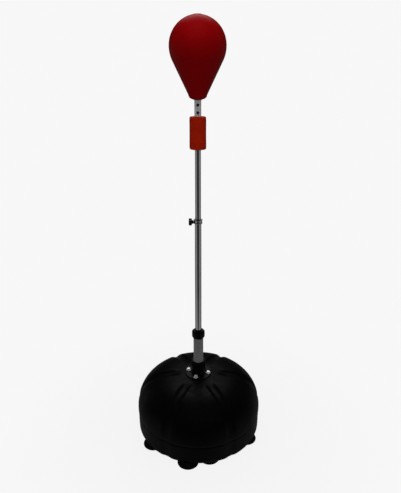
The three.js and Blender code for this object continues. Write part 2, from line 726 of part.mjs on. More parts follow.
// ---- Bag ----------------------------------------------------------------------------------------
// The pear's outline, inset by a skin, from its neck to its crown.
function pearOutline(inset, steps) {
  const shoulder = BAG_SHOULDER - inset;
  const centre = BAG_RADIUS - BAG_SHOULDER;
  const low = arc(centre, BAG_WIDEST, shoulder, -BAG_CONE_ANGLE, 0, Math.ceil(steps / 3));
  const slope = Math.tan(BAG_CONE_ANGLE);
  const coneEnd = BAG_FOOT + BAG_NECK;
  const coneRadius = low[0][0] - (low[0][1] - coneEnd) * slope;
  const crown = Array.from({ length: steps }, (_, i) => {
    const turn = ((Math.PI / 2) * (i + 1)) / steps;
    return [(BAG_RADIUS - inset) * Math.cos(turn), BAG_WIDEST + (BAG_CROWN - inset) * Math.sin(turn)];
  });
  return { neck: [coneRadius, coneEnd], low, crown };
}

const valveHole = () => rod(VALVE_RADIUS + SEAT_GAP, BAG_TOP - VALVE_LENGTH * 2, BAG_TOP + 1, 16);

function bagCover() {
  const neckRadius = STEM_RADIUS + SEAT_GAP;
  const outer = pearOutline(0, BAG_STEPS);
  const inner = pearOutline(BAG_SKIN, PEAR_STEPS);
  const [endRadius, endHeight] = outer.neck;
  const body = revolve(
    [
      [0, BAG_FOOT],
      [neckRadius + 1, BAG_FOOT],
      [neckRadius + 10, BAG_FOOT + 1],
      [endRadius - BAG_NECK_ROUND, BAG_FOOT + BAG_NECK_ROUND],
      [endRadius, endHeight],
      ...outer.low,
      ...outer.crown,
    ],
    BAG_SIDES,
  );
  const hollow = revolve(
    [
      [0, BAG_FOOT + BAG_NECK],
      [SOCKET_DISC_RADIUS + 2, BAG_FOOT + BAG_NECK],
      [inner.neck[0] + (STEM_INTO_BAG - BAG_NECK) * Math.tan(BAG_CONE_ANGLE), BAG_FOOT + STEM_INTO_BAG],
      ...inner.low,
      ...inner.crown,
    ],
    PEAR_SIDES,
  );
  return cutAll(body, [
    hollow,
    rod(neckRadius, BAG_FOOT - 1, BAG_FOOT + BAG_NECK + 1, 32),
    valveHole(),
  ]);
}
addPiece("bag_cover", bagCover(), redLeather);

const discFoot = STEM_TOP + SEAT_GAP;
const discTop = discFoot + SOCKET_DISC_THICKNESS;
addPiece(
  "bag_socket",
  revolve([
    [0, UPPER_TUBE_TOP + SEAT_GAP],
    [UPPER_TUBE_RADIUS, UPPER_TUBE_TOP + SEAT_GAP],
    [UPPER_TUBE_RADIUS, discFoot],
    [SOCKET_DISC_RADIUS, discFoot],
    [SOCKET_DISC_RADIUS, discTop - 1],
    [SOCKET_DISC_RADIUS - 1, discTop],
    [0, discTop],
  ]),
  blackPlastic,
);

function bladder() {
  const skin = BAG_SKIN + SEAT_GAP;
  const outer = pearOutline(skin, PEAR_STEPS);
  const inner = pearOutline(skin + BLADDER_SKIN, PEAR_STEPS);
  const foot = discTop + SEAT_GAP;
  const slope = Math.tan(BAG_CONE_ANGLE);
  const widthAt = ([radius, height]) => radius - (height - foot - 8) * slope;
  const body = revolve(
    [
      [0, foot],
      [SOCKET_DISC_RADIUS, foot],
      [widthAt(outer.low[0]) - 1, foot + 8],
      ...outer.low,
      ...outer.crown,
    ],
    PEAR_SIDES,
  );
  const hollow = revolve(
    [
      [0, foot + BLADDER_SKIN],
      [SOCKET_DISC_RADIUS - BLADDER_SKIN, foot + BLADDER_SKIN],
      [widthAt(inner.low[0]) - 1, foot + 8],
      ...inner.low,
      ...inner.crown,
    ],
    PEAR_SIDES,
  );
  return cutAll(body, [hollow, valveHole()]);
}
addPiece("bag_bladder", bladder(), latex);
const valveTop = BAG_TOP - VALVE_SINK;
addPiece("bladder_valve", rod(VALVE_RADIUS, valveTop - VALVE_LENGTH, valveTop, 16), blackRubber);

export default stand;
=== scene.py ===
"""Free-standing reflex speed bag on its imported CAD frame: finishes, fine shapes, studio and camera.

Metres, +Z up.
"""

import json
import math

import bmesh
import bpy
from mathutils import Matrix, Vector, noise


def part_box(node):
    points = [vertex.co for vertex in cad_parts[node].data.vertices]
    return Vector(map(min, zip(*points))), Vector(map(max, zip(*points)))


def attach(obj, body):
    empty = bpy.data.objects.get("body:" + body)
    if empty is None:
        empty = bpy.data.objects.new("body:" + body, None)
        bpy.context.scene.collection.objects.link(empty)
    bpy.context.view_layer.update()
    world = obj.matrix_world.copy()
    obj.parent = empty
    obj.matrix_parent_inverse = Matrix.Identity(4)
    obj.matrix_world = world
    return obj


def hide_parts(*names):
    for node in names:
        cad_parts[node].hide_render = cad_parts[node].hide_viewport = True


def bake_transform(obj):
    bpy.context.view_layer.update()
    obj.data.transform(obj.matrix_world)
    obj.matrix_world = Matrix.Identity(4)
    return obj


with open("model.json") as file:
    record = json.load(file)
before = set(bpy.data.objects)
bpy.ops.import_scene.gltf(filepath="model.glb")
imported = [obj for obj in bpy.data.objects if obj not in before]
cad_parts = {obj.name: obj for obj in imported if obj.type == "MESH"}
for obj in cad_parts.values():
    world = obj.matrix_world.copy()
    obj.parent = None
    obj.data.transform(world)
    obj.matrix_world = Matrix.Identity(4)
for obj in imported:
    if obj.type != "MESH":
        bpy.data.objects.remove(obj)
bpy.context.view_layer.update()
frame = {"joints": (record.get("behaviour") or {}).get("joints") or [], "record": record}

MM = 0.001
TAU = math.tau


def low(node):
    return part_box(node)[0]


def high(node):
    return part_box(node)[1]


def radius_of(node):
    return (high(node).x - low(node).x) / 2


def ends_of(node):
    """The heights of a node's foot and top."""
    return low(node).z, high(node).z


def centre_of(node):
    """The middle of a node's box, seen from above."""
    return ((low(node).x + high(node).x) / 2, (low(node).y + high(node).y) / 2)


# ---- Sizes taken from the frame ----
TANK_RADIUS = high("base_tank").y
TANK_FOOT, TANK_TOP = ends_of("base_tank")
LEAN_HEIGHT = next(joint["pos_m"][2] for joint in frame["joints"] if joint["name"] == "pole_lean_x")
CUP_TOP = high("lower_spring_cup").z
CAP_FOOT, CAP_TOP = ends_of("spring_cap")
COLLAR_FOOT, COLLAR_TOP = ends_of("clamp_collar")
LOWER_TUBE_RADIUS = radius_of("lower_tube")
UPPER_TUBE_RADIUS = radius_of("upper_tube")
STEM_RADIUS = radius_of("bag_stem")
BAG_FOOT, BAG_TOP = ends_of("bag_cover")
BAG_RADIUS = radius_of("bag_cover")

# ---- Clearances ----
SEAT_GAP = 0.3 * MM  # between faces that rest on each other, and round a shaft in its hole
SPRING_BORE = radius_of("lower_spring_plug") + SEAT_GAP  # of the cup and the cap that hold the spring


# ---- Node helpers ----
NOISE_LOW, NOISE_HIGH = 0.3, 0.7  # most values of a noise texture lie between these


class Nodes:
    """Adds nodes to a tree. A setting is a node's property or, with _ for a space, an input's value."""

    def __init__(self, tree):
        self.tree = tree

    def node(self, kind, **settings):
        made = self.tree.nodes.new(kind)
        for key, value in settings.items():
            if hasattr(made, key):
                setattr(made, key, value)
            else:
                made.inputs[key.replace("_", " ")].default_value = value
        return made

    def link(self, source, target):
        self.tree.links.new(source, target)

    def ramp(self, source, *stops):
        made = self.node("ShaderNodeValToRGB")
        elements = made.color_ramp.elements
        while len(elements) < len(stops):
            elements.new(0.5)
        for element, (place, colour) in zip(elements, stops):
            element.position = place
            element.color = (*colour, 1)
        self.link(source, made.inputs["Fac"])
        return made.outputs["Color"]

    def mix(self, kind, factor, first, second):
        made = self.node("ShaderNodeMix", data_type="RGBA", blend_type=kind, Factor=factor)
        self.link(first, made.inputs["A"])
        self.link(second, made.inputs["B"])
        return made.outputs["Result"]

    def choose(self, factor, first, second):
        """The first shader where the factor is 0, and the second where it is 1."""
        made = self.node("ShaderNodeMixShader")
        self.link(factor, made.inputs["Fac"])
        self.link(first, made.inputs[1])
        self.link(second, made.inputs[2])
        return made.outputs["Shader"]


class Look(Nodes):
    """A Principled material that is built up node by node from object coordinates."""

    def __init__(self, name, metallic=0.0, ior=1.45, specular=0.5):
        self.material = bpy.data.materials.new(name)
        self.material.use_nodes = True
        super().__init__(self.material.node_tree)
        self.shader = self.tree.nodes["Principled BSDF"]
        self.shader.inputs["Metallic"].default_value = metallic
        self.shader.inputs["IOR"].default_value = ior
        self.shader.inputs["Specular IOR Level"].default_value = specular
        self.where = self.node("ShaderNodeTexCoord").outputs["Object"]

    def stretched(self, x, y, z):
        mapping = self.node("ShaderNodeMapping", Scale=(x, y, z))
        self.link(self.where, mapping.inputs["Vector"])
        return mapping.outputs["Vector"]

    def noise(self, scale, detail=4.0, roughness=0.55, vector=None):
        made = self.node("ShaderNodeTexNoise", Scale=scale, Detail=detail, Roughness=roughness)
        self.link(vector or self.where, made.inputs["Vector"])
        return made.outputs["Fac"]

    def cells(self, scale, feature="DISTANCE_TO_EDGE"):
        made = self.node("ShaderNodeTexVoronoi", Scale=scale, feature=feature)
        self.link(self.where, made.inputs["Vector"])
        return made.outputs["Distance"]

    def spread(self, source, lowest, highest):
        limits = {"From_Min": NOISE_LOW, "From_Max": NOISE_HIGH, "To_Min": lowest, "To_Max": highest}
        made = self.node("ShaderNodeMapRange", **limits)
        self.link(source, made.inputs["Value"])
        return made.outputs["Result"]

    def colour(self, source):
        self.link(source, self.shader.inputs["Base Color"])

    def roughness(self, source):
        self.link(source, self.shader.inputs["Roughness"])

    def bump(self, *layers):
        """Each layer is (height output, strength, distance in metres), the broadest first."""
        normal = None
        for height, strength, distance in layers:
            made = self.node("ShaderNodeBump", Strength=strength, Distance=distance)
            self.link(height, made.inputs["Height"])
            if normal:
                self.link(normal, made.inputs["Normal"])
            normal = made.outputs["Normal"]
        self.link(normal, self.shader.inputs["Normal"])


def tank_plastic():
    look = Look("tank_plastic", ior=1.5, specular=0.06)
    broad = look.noise(9, detail=3)
    grain = look.noise(520, detail=6, roughness=0.7)
    scuffs = look.noise(60, detail=8, roughness=0.75, vector=look.stretched(1, 1, 3.5))
    base = look.ramp(broad, (0.3, (0.0016, 0.0016, 0.0017)), (0.7, (0.0026, 0.0026, 0.0028)))
    dust = look.ramp(scuffs, (0.5, (0, 0, 0)), (0.78, (0.0022, 0.0022, 0.0023)))
    look.colour(look.mix("ADD", 1.0, base, dust))
    look.roughness(look.spread(look.noise(38, detail=6), 0.34, 0.5))
    look.bump((broad, 0.25, 2 * MM), (grain, 0.35, 0.15 * MM))
    return look.material


def moulded_plastic():
    look = Look("moulded_plastic", ior=1.49, specular=0.35)
    grain = look.noise(1400, detail=4)
    look.colour(look.ramp(look.noise(90), (0.3, (0.004, 0.004, 0.0044)), (0.7, (0.008, 0.008, 0.0085))))
    look.roughness(look.spread(look.noise(160, detail=5), 0.3, 0.46))
    look.bump((grain, 0.3, 0.06 * MM))
    return look.material


def rubber():
    look = Look("rubber", ior=1.5, specular=0.12)
    look.colour(look.ramp(look.noise(70), (0.3, (0.003, 0.003, 0.003)), (0.72, (0.007, 0.0069, 0.0067))))
    look.roughness(look.spread(look.noise(210, detail=6), 0.55, 0.78))
    look.bump((look.noise(900, detail=5), 0.3, 0.1 * MM))
    return look.material


def coated_steel():
    look = Look("coated_steel", ior=1.5, specular=0.12)
    peel = look.noise(620, detail=2)
    worn = look.noise(130, detail=8, roughness=0.75)
    look.colour(look.ramp(worn, (0.4, (0.0015, 0.0015, 0.0017)), (0.75, (0.006, 0.006, 0.0063))))
    look.roughness(look.spread(worn, 0.28, 0.45))
    look.bump((peel, 0.35, 0.12 * MM))
    return look.material


def zinc():
    look = Look("zinc", metallic=0.5)
    crystals = look.cells(420, feature="F1")
    look.colour(look.ramp(crystals, (0.0, (0.82, 0.83, 0.84)), (0.7, (0.96, 0.96, 0.97))))
    look.roughness(look.spread(look.noise(300, detail=5), 0.3, 0.48))
    look.bump((look.noise(1100), 0.2, 0.05 * MM))
    return look.material


def collar_steel():
    look = Look("collar_steel", metallic=1.0)
    rings = look.noise(60, detail=5, vector=look.stretched(1, 1, 60))
    look.colour(look.ramp(rings, (0.3, (0.42, 0.42, 0.43)), (0.7, (0.62, 0.62, 0.63))))
    look.roughness(look.spread(rings, 0.2, 0.38))
    look.bump((rings, 0.25, 0.05 * MM))
    return look.material


def dark_screw():
    look = Look("dark_screw", metallic=1.0)
    look.colour(look.ramp(look.noise(500), (0.3, (0.14, 0.14, 0.145)), (0.7, (0.24, 0.24, 0.245))))
    look.roughness(look.spread(look.noise(800), 0.25, 0.45))
    look.bump((look.noise(1500), 0.2, 0.03 * MM))
    return look.material


def spring_steel():
    look = Look("spring_steel", metallic=0.6)
    drawn = look.noise(120, detail=7, roughness=0.7)
    look.colour(look.ramp(drawn, (0.3, (0.42, 0.42, 0.43)), (0.7, (0.62, 0.62, 0.63))))
    look.roughness(look.spread(drawn, 0.4, 0.56))
    look.bump((look.noise(700, detail=5), 0.25, 0.06 * MM))
    return look.material


def turned_brass():
    look = Look("turned_brass", metallic=1.0)
    rings = look.noise(40, vector=look.stretched(1, 1, 90))
    look.colour(look.ramp(rings, (0.3, (0.52, 0.36, 0.12)), (0.7, (0.68, 0.5, 0.2))))
    look.roughness(look.spread(rings, 0.25, 0.4))
    look.bump((rings, 0.3, 0.05 * MM))
    return look.material


def chrome():
    look = Look("chrome", metallic=1.0)
    smudge = look.noise(22, detail=6, roughness=0.65, vector=look.stretched(1, 1, 0.5))
    drawn = look.noise(420, detail=4, vector=look.stretched(1, 1, 0.02))
    look.colour(look.ramp(smudge, (0.3, (0.5, 0.51, 0.52)), (0.7, (0.64, 0.645, 0.65))))
    look.roughness(look.spread(smudge, 0.1, 0.22))
    look.bump((drawn, 0.12, 0.03 * MM))
    return look.material


def stem_chrome_painted_bright():
    look = Look("stem_chrome_painted_bright", metallic=0.35)
    wear = look.noise(150, detail=7, roughness=0.7)
    # Painted reflection: a near-white diffuse share makes this chrome read bright under any lamp, unlike
    # the tubes' chrome.
    look.colour(look.ramp(wear, (0.35, (0.78, 0.78, 0.79)), (0.7, (0.95, 0.95, 0.95))))
    look.roughness(look.spread(wear, 0.32, 0.5))
    look.bump((look.noise(800, detail=4), 0.2, 0.05 * MM))
    return look.material


def red_leather():
    look = Look("red_leather", ior=1.45, specular=0.05)
    shift = look.noise(14, detail=4)
    pores = look.cells(720)
    creases = look.cells(240, feature="F1")
    fine = look.noise(1900, detail=5, roughness=0.7)
    base = look.ramp(shift, (0.25, (0.33, 0.0002, 0.0014)), (0.75, (0.385, 0.0004, 0.0026)))
    # Painted shade: darker in the narrow creases between the grain's cells, where the bump sinks.
    pore_shade = look.ramp(pores, (0.0, (0.62, 0.5, 0.5)), (0.12, (1, 1, 1)))
    look.colour(look.mix("MULTIPLY", 0.6, base, pore_shade))
    look.roughness(look.spread(look.noise(120, detail=6), 0.42, 0.56))
    look.bump((creases, 0.1, 0.4 * MM), (pores, 0.35, 0.16 * MM), (fine, 0.2, 0.05 * MM))
    return look.material


def red_thread():
    look = Look("red_thread", specular=0.2)
    twist = look.noise(900, detail=3, vector=look.stretched(1, 1, 2.2))
    look.colour(look.ramp(twist, (0.3, (0.3, 0.001, 0.002)), (0.7, (0.45, 0.003, 0.005))))
    look.roughness(look.spread(twist, 0.6, 0.8))
    look.bump((twist, 0.6, 0.15 * MM))
    return look.material


def red_foam():
    look = Look("red_foam", ior=1.4, specular=0.15)
    patches = look.noise(30, detail=5)
    skin = look.cells(900, feature="F1")
    base = look.ramp(patches, (0.3, (0.5, 0.0145, 0.0002)), (0.7, (0.6, 0.0195, 0.0005)))
    # Painted shade: darker in the pits of the foam's skin, where the bump sinks.
    pit_shade = look.ramp(skin, (0.12, (0.6, 0.45, 0.4)), (0.45, (1, 1, 1)))
    look.colour(look.mix("MULTIPLY", 0.55, base, pit_shade))
    look.roughness(look.spread(look.noise(300, detail=6), 0.62, 0.82))
    fine = look.noise(2400, detail=4)
    look.bump((patches, 0.25, 0.6 * MM), (skin, 0.45, 0.25 * MM), (fine, 0.3, 0.06 * MM))
    return look.material


TANK = tank_plastic()
PLASTIC = moulded_plastic()
RUBBER = rubber()
COATED = coated_steel()
ZINC = zinc()
COLLAR = collar_steel()
SCREW = dark_screw()
SPRING = spring_steel()
BRASS = turned_brass()
CHROME = chrome()
STEM_CHROME_PAINTED_BRIGHT = stem_chrome_painted_bright()
LEATHER = red_leather()
THREAD = red_thread()
FOAM = red_foam()

BY_SLOT = {
    "tank_plastic": TANK,
    "black_plastic": PLASTIC,
    "black_rubber": RUBBER,
    "black_steel": COATED,
    "bright_steel": ZINC,
    "dark_screw": SCREW,
    "spring_steel": SPRING,
    "brass": BRASS,
    "chrome": CHROME,
    "red_foam": FOAM,
    "red_leather": LEATHER,
    "latex": RUBBER,
}
SLOT_OF = {part["node"]: part["material_slot"] for part in frame["record"]["subparts"]}


# ---- Mesh helpers ----
MERGE_DISTANCE = 1e-6
POINT_RADIUS = 1e-7  # a ring smaller than this is a single point


def clean_mesh(mesh, merge=False):
    """Turns every face outwards, after merging doubled points if asked."""
    edit = bmesh.new()
    edit.from_mesh(mesh)
    if merge:
        bmesh.ops.remove_doubles(edit, verts=edit.verts, dist=MERGE_DISTANCE)
    bmesh.ops.recalc_face_normals(edit, faces=edit.faces)
    edit.to_mesh(mesh)
    edit.free()


def make_piece(name, verts, faces, material, body, nodes=(), slot=None, sharp=32, ride=True):
    """A smooth-shaded mesh piece on a body, which stands for the named CAD nodes."""
    mesh = bpy.data.meshes.new(name)
    mesh.from_pydata(verts, [], faces)
    clean_mesh(mesh, merge=True)
    mesh.shade_smooth()
    mesh.set_sharp_from_angle(angle=math.radians(sharp))
    mesh.materials.append(material)
    piece = bpy.data.objects.new(name, mesh)
    bpy.context.scene.collection.objects.link(piece)
    if ride:
        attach(piece, body)
    if nodes:
        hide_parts(*nodes)
        slot = slot or SLOT_OF[nodes[0]]
    return piece


def grid(rows, closed_rows=False):
    """Vertices and faces of rows of points, each closed on itself. A row of one point closes an end."""
    verts, faces, starts = [], [], []
    for row in rows:
        starts.append(len(verts))
        verts.extend(row)
    for i in range(len(rows) if closed_rows else len(rows) - 1):
        j = (i + 1) % len(rows)
        a, b = starts[i], starts[j]
        na, nb = len(rows[i]), len(rows[j])
        for k in range(max(na, nb)):
            m = (k + 1) % max(na, nb)
            corners = [a + k % na, a + m % na, b + m % nb, b + k % nb]
            unique = list(dict.fromkeys(corners))
            if len(unique) > 2:
                faces.append(unique)
    return verts, faces


CORNER_SHARE = 0.45  # the most of an outline's side that one corner's arc may take


def rounded(points, radius, steps=4, closed=False):
    """The outline with each corner replaced by a small arc."""
    out = []
    count = len(points)
    for i, point in enumerate(points):
        if not closed and i in (0, count - 1):
            out.append(point)
            continue
        here = Vector(point)
        before = Vector(points[i - 1]) - here
        after = Vector(points[(i + 1) % count]) - here
        reach = min(radius, before.length * CORNER_SHARE, after.length * CORNER_SHARE)
        first = here + before.normalized() * reach
        last = here + after.normalized() * reach
        for step in range(steps + 1):
            t = step / steps
            spot = first * (1 - t) ** 2 + here * 2 * t * (1 - t) + last * t**2
            out.append((spot.x, spot.y))
    return out


def ring(radius, height, sides, centre=(0, 0)):
    if radius < POINT_RADIUS:
        return [(centre[0], centre[1], height)]
    turns = [TAU * k / sides for k in range(sides)]
    return [(centre[0] + radius * math.cos(t), centre[1] + radius * math.sin(t), height) for t in turns]


def turned(name, outline, material, body, nodes=(), slot=None, **shape):
    """A piece turned about a vertical axis, from (radius, height) points that climb round its outside."""
    closed = shape.get("closed", False)
    fillet = shape.get("fillet", 0.6 * MM)
    rows = [
        ring(radius, height, shape.get("sides", 96), shape.get("centre", (0, 0)))
        for radius, height in rounded(outline, fillet, closed=closed)
    ]
    verts, faces = grid(rows, closed_rows=closed)
    return make_piece(name, verts, faces, material, body, nodes, slot)


def tube(name, inner, outer, foot, top, material, body, nodes, fillet=0.4 * MM):
    outline = [(inner, foot), (outer, foot), (outer, top), (inner, top)]
    return turned(name, outline, material, body, nodes, closed=True, fillet=fillet)


def smoothstep(value, start, end):
    t = min(max((value - start) / (end - start), 0.0), 1.0)
    return t * t * (3 - 2 * t)


# ---- Tank ----
TANK_SIDES = 432
TANK_BULGE = 0.82  # power of the dome's superellipse
TANK_CORNER = 10 * MM
TANK_FLAT_RADIUS = 57 * MM
UNDERSIDE_STOPS = (0.35, 0.7, 0.88)  # shares of its radius that hold a ring of points
FLAT_STOPS = (54 * MM, 30 * MM, 0)
PARTING_HEIGHT = 88 * MM  # widest level, where the two halves of the mould meet
PARTING_LINE = [(2.6, -3.6), (2.8, -1.2), (0.9, -0.6), (0.4, 0.8), (0.2, 4)]  # mm inwards and upwards
LOWER_TAPER = 3 * MM  # how far the wall draws in below the parting line
LOWER_FLARE = 0.7  # power by which the wall widens on its way up
LIP_DROP, LIP_INSET = 5 * MM, 1.6 * MM  # where the lower wall ends, from the widest level
SHOULDER_RISE = 8 * MM
CORNER_STEPS, WALL_STEPS, DOME_STEPS = 8, 12, 96

LOBES = 6
CHANNEL_DEPTH = 7.5 * MM
CHANNEL_FLOOR = 7 * MM  # half-width of a channel's floor
CHANNEL_MOUTH = 22 * MM  # half-width of a channel's mouth
CHANNEL_START = 8 * MM  # from the flat's edge to where a channel begins
CHANNEL_FULL = 60 * MM  # from the flat's edge, and up the wall, to where it has its full depth
CHANNEL_RISE = 6 * MM  # from the parting line to where a channel begins to deepen
CHANNEL_CRISP = 0.65  # share of a channel's side that is straight, the rest being an S-curve
CHANNEL_LOW_SHARE = 0.35  # share of the wall's depth below the parting line
CHANNEL_WALL_SHARE = 1.4  # depth on a steep wall, against the depth on the dome
CHANNEL_TILT = 0.6  # how much less a steep wall is pressed downwards

POCKET_RADIUS = 28 * MM
POCKET_EDGE = 2 * MM
POCKET_OVERCUT = 20 * MM
POCKET_SIDES = 96


def clamped(value):
    return min(max(value, 0), 1)


def tank_outline():
    """(radius, height) from the centre of the underside to the centre of the top."""
    foot_radius = TANK_RADIUS - LOWER_TAPER
    points = [(0, TANK_FOOT)]
    points += [(foot_radius * share, TANK_FOOT) for share in UNDERSIDE_STOPS]
    start = TANK_FOOT + TANK_CORNER
    for i in range(CORNER_STEPS + 1):
        angle = (math.pi / 2) * (i / CORNER_STEPS - 1)
        reach = TANK_CORNER * math.cos(angle)
        points.append((foot_radius - TANK_CORNER + reach, start + TANK_CORNER * math.sin(angle)))
    lip = PARTING_HEIGHT - LIP_DROP
    for i in range(1, WALL_STEPS + 1):
        t = i / WALL_STEPS
        reach = (LOWER_TAPER - LIP_INSET) * t**LOWER_FLARE
        points.append((foot_radius + reach, start + (lip - start) * t))
    for inwards, upwards in PARTING_LINE:
        points.append((TANK_RADIUS - inwards * MM, PARTING_HEIGHT + upwards * MM))
    shoulder = PARTING_HEIGHT + SHOULDER_RISE
    for i in range(DOME_STEPS + 1):
        turn = (math.pi / 2) * i / DOME_STEPS
        reach = (TANK_RADIUS - TANK_FLAT_RADIUS) * math.cos(turn) ** TANK_BULGE
        rise = (TANK_TOP - shoulder) * math.sin(turn) ** TANK_BULGE
        points.append((TANK_FLAT_RADIUS + reach, shoulder + rise))
    return points + [(radius, TANK_TOP) for radius in FLAT_STOPS]


def channel_press(radius, angle, height):
    """How far a point of the tank is pressed inwards and downwards by the channel next to it."""
    sector = TAU / LOBES
    turn = angle + sector / 2
    across = abs(turn - round(turn / sector) * sector) * radius
    ramp = clamped((CHANNEL_MOUTH - across) / (CHANNEL_MOUTH - CHANNEL_FLOOR))
    side = CHANNEL_CRISP * ramp + (1 - CHANNEL_CRISP) * smoothstep(ramp, 0, 1)
    outward = smoothstep(radius, TANK_FLAT_RADIUS + CHANNEL_START, TANK_FLAT_RADIUS + CHANNEL_FULL)
    upward = smoothstep(height, PARTING_HEIGHT + CHANNEL_RISE, PARTING_HEIGHT + CHANNEL_FULL)
    steep = clamped((TANK_TOP - height) / TANK_TOP)
    press = CHANNEL_DEPTH * side * outward
    on_wall = CHANNEL_WALL_SHARE * (CHANNEL_LOW_SHARE + (1 - CHANNEL_LOW_SHARE) * upward)
    return press * on_wall * steep, press * upward * (1 - CHANNEL_TILT * steep)


def pressed_row(radius, height):
    """A ring of the tank's surface, with the channels pressed into it."""
    if radius < POINT_RADIUS:
        return [(0, 0, height)]
    row = []
    for k in range(TANK_SIDES):
        angle = TAU * k / TANK_SIDES
        inward, down = channel_press(radius, angle, height)
        reach = radius - inward
        row.append((reach * math.sin(angle), -reach * math.cos(angle), height - down))
    return row


def carve_pocket(tank):
    """Cuts the filler's pocket into the top of the tank."""
    floor, rim = low("filler_gasket").z - SEAT_GAP, TANK_TOP + POCKET_OVERCUT
    outline = [(0, floor), (POCKET_RADIUS - POCKET_EDGE, floor), (POCKET_RADIUS, floor + POCKET_EDGE)]
    outline += [(POCKET_RADIUS, rim), (0, rim)]
    centre = centre_of("filler_gasket")
    verts, faces = grid([ring(radius, height, POCKET_SIDES, centre) for radius, height in outline])
    mesh = bpy.data.meshes.new("pocket_cutter")
    mesh.from_pydata(verts, [], faces)
    clean_mesh(mesh)
    cutter = bpy.data.objects.new("pocket_cutter", mesh)
    bpy.context.scene.collection.objects.link(cutter)
    carve = tank.modifiers.new("pocket", "BOOLEAN")
    carve.operation = "DIFFERENCE"
    carve.solver = "EXACT"
    carve.object = cutter
    bpy.context.view_layer.objects.active = tank
    bpy.ops.object.modifier_apply(modifier=carve.name)
    bpy.data.objects.remove(cutter)
    tank.data.set_sharp_from_angle(angle=math.radians(40))


def build_tank():
    verts, faces = grid([pressed_row(radius, height) for radius, height in tank_outline()])
    tank = make_piece("tank_body", verts, faces, TANK, "base", ["base_tank"], sharp=50)
    carve_pocket(tank)


# ---- Suction cups ----
CUP_LIP = 2.5 * MM
CUP_STEM_RADIUS = 7 * MM
CUP_STEM_BEVEL = 1 * MM


def build_cups():
    nodes = sorted(node for node in SLOT_OF if node.startswith("suction_cup_"))
    for number, node in enumerate(nodes, 1):
        lip, tip = radius_of(node), high(node).z
        neck = TANK_FOOT - SEAT_GAP
        outline = [
            (0, 4 * MM),
            (lip * 0.62, 2.6 * MM),
            (lip - CUP_LIP, 0),
            (lip, 0),
            (lip, 1.8 * MM),
            (lip * 0.9, 4.2 * MM),
            (lip * 0.82, 5.0 * MM),
            (lip * 0.72, 8.6 * MM),
            (lip * 0.66, 9.4 * MM),
            (lip * 0.62, neck),
            (CUP_STEM_RADIUS, neck),
            (CUP_STEM_RADIUS, tip - CUP_STEM_BEVEL),
            (0, tip),
        ]
        shape = {"sides": 72, "fillet": 0.8 * MM, "centre": centre_of(node)}
        turned(f"cup_{number}", outline, RUBBER, "base", [node], **shape)


# ---- Filler cap ----
LID_SIDES = 240
LID_FLANGE = 7.3 * MM  # how far the lid reaches out past its plug
LID_DISH = 1.6 * MM  # depth of the dish in the lid's top
KNURL_RIBS = 60
KNURL_DEPTH = 0.35 * MM
KNURL_REACH = 1 * MM  # knurled points lie this near the rim
GRIP_LENGTH, GRIP_WIDTH, GRIP_ROUND = 30 * MM, 5.2 * MM, 2.2 * MM


def build_filler_lid():
    centre = centre_of("filler_cap")
    foot, top = ends_of("filler_cap")
    seat = high("filler_gasket").z + SEAT_GAP
    rim = radius_of("filler_cap")
    plug = rim - LID_FLANGE
    outline = [
        (0, foot),
        (plug, foot),
        (plug, seat),
        (rim, seat),
        (rim, top - 1.2 * MM),
        (rim - 1.4 * MM, top),
        (rim - 4 * MM, top),
        (rim - 5 * MM, top - LID_DISH),
        (0, top - LID_DISH),
    ]
    rows = []
    for radius, height in rounded(outline, 0.5 * MM):
        depth = KNURL_DEPTH if radius > rim - KNURL_REACH else 0
        row = []
        for x, y, z in ring(radius, height, LID_SIDES):
            rib = 0.5 + 0.5 * math.cos(KNURL_RIBS * math.atan2(y, x))
            shrink = 1 - depth * rib / max(radius, MM)
            row.append((centre[0] + x * shrink, centre[1] + y * shrink, z))
        rows.append(row)
    verts, faces = grid(rows)
    make_piece("filler_lid", verts, faces, PLASTIC, "filler_cap", ["filler_cap"])


def build_filler_grip():
    """The bar across the lid that a hand turns it by."""
    middle_x, middle_y = centre_of("filler_cap")
    top = high("filler_cap").z
    foot, crest = top - 1.8 * MM, top + 0.1 * MM
    x, y = GRIP_LENGTH / 2, GRIP_WIDTH / 2
    plan = rounded([(-x, -y), (x, -y), (x, y), (-x, y)], GRIP_ROUND, closed=True)
    levels = [(1.0, foot), (1.0, top - 0.8 * MM), (0.93, top), (0.5, crest)]
    rows = [[(middle_x + x * share, middle_y + y * share, z) for x, y in plan] for share, z in levels]
    verts, faces = grid([[(middle_x, middle_y, foot)], *rows, [(middle_x, middle_y, crest)]])
    make_piece("filler_grip", verts, faces, PLASTIC, "filler_cap", slot="black_plastic")


# ---- Flange, spring cup and bolts ----
FLANGE_BEVEL = 0.9 * MM
CUP_FOOT_SPREAD = 2 * MM  # of the frame's cup
CUP_RIM_BEVEL = 2.6 * MM
CUP_BORE_BEVEL = 1 * MM
WASHER_BORE = 4.3 * MM
BOLT_COUNT = 4
BOLT_RADIUS = 4 * MM
BOLT_TIP_BEVEL = 0.8 * MM
BOLT_LIFT = 0.15 * MM  # head above its washer
BOLT_SIDES = 72
HEAD_FLAT = 6.5 * MM  # axis to a flat of the head
HEAD_COLLAR = 6.3 * MM
HEAD_CORNER = 1.13  # reach of an eased corner, against the flat's


def build_flange():
    foot, top = ends_of("flange_plate")
    edge = radius_of("flange_plate")
    outline = [(0, foot), (edge, foot), (edge, top - FLANGE_BEVEL), (edge - FLANGE_BEVEL, top), (0, top)]
    turned("flange_disc", outline, COATED, "base", ["flange_plate"], sides=160, fillet=0.5 * MM)


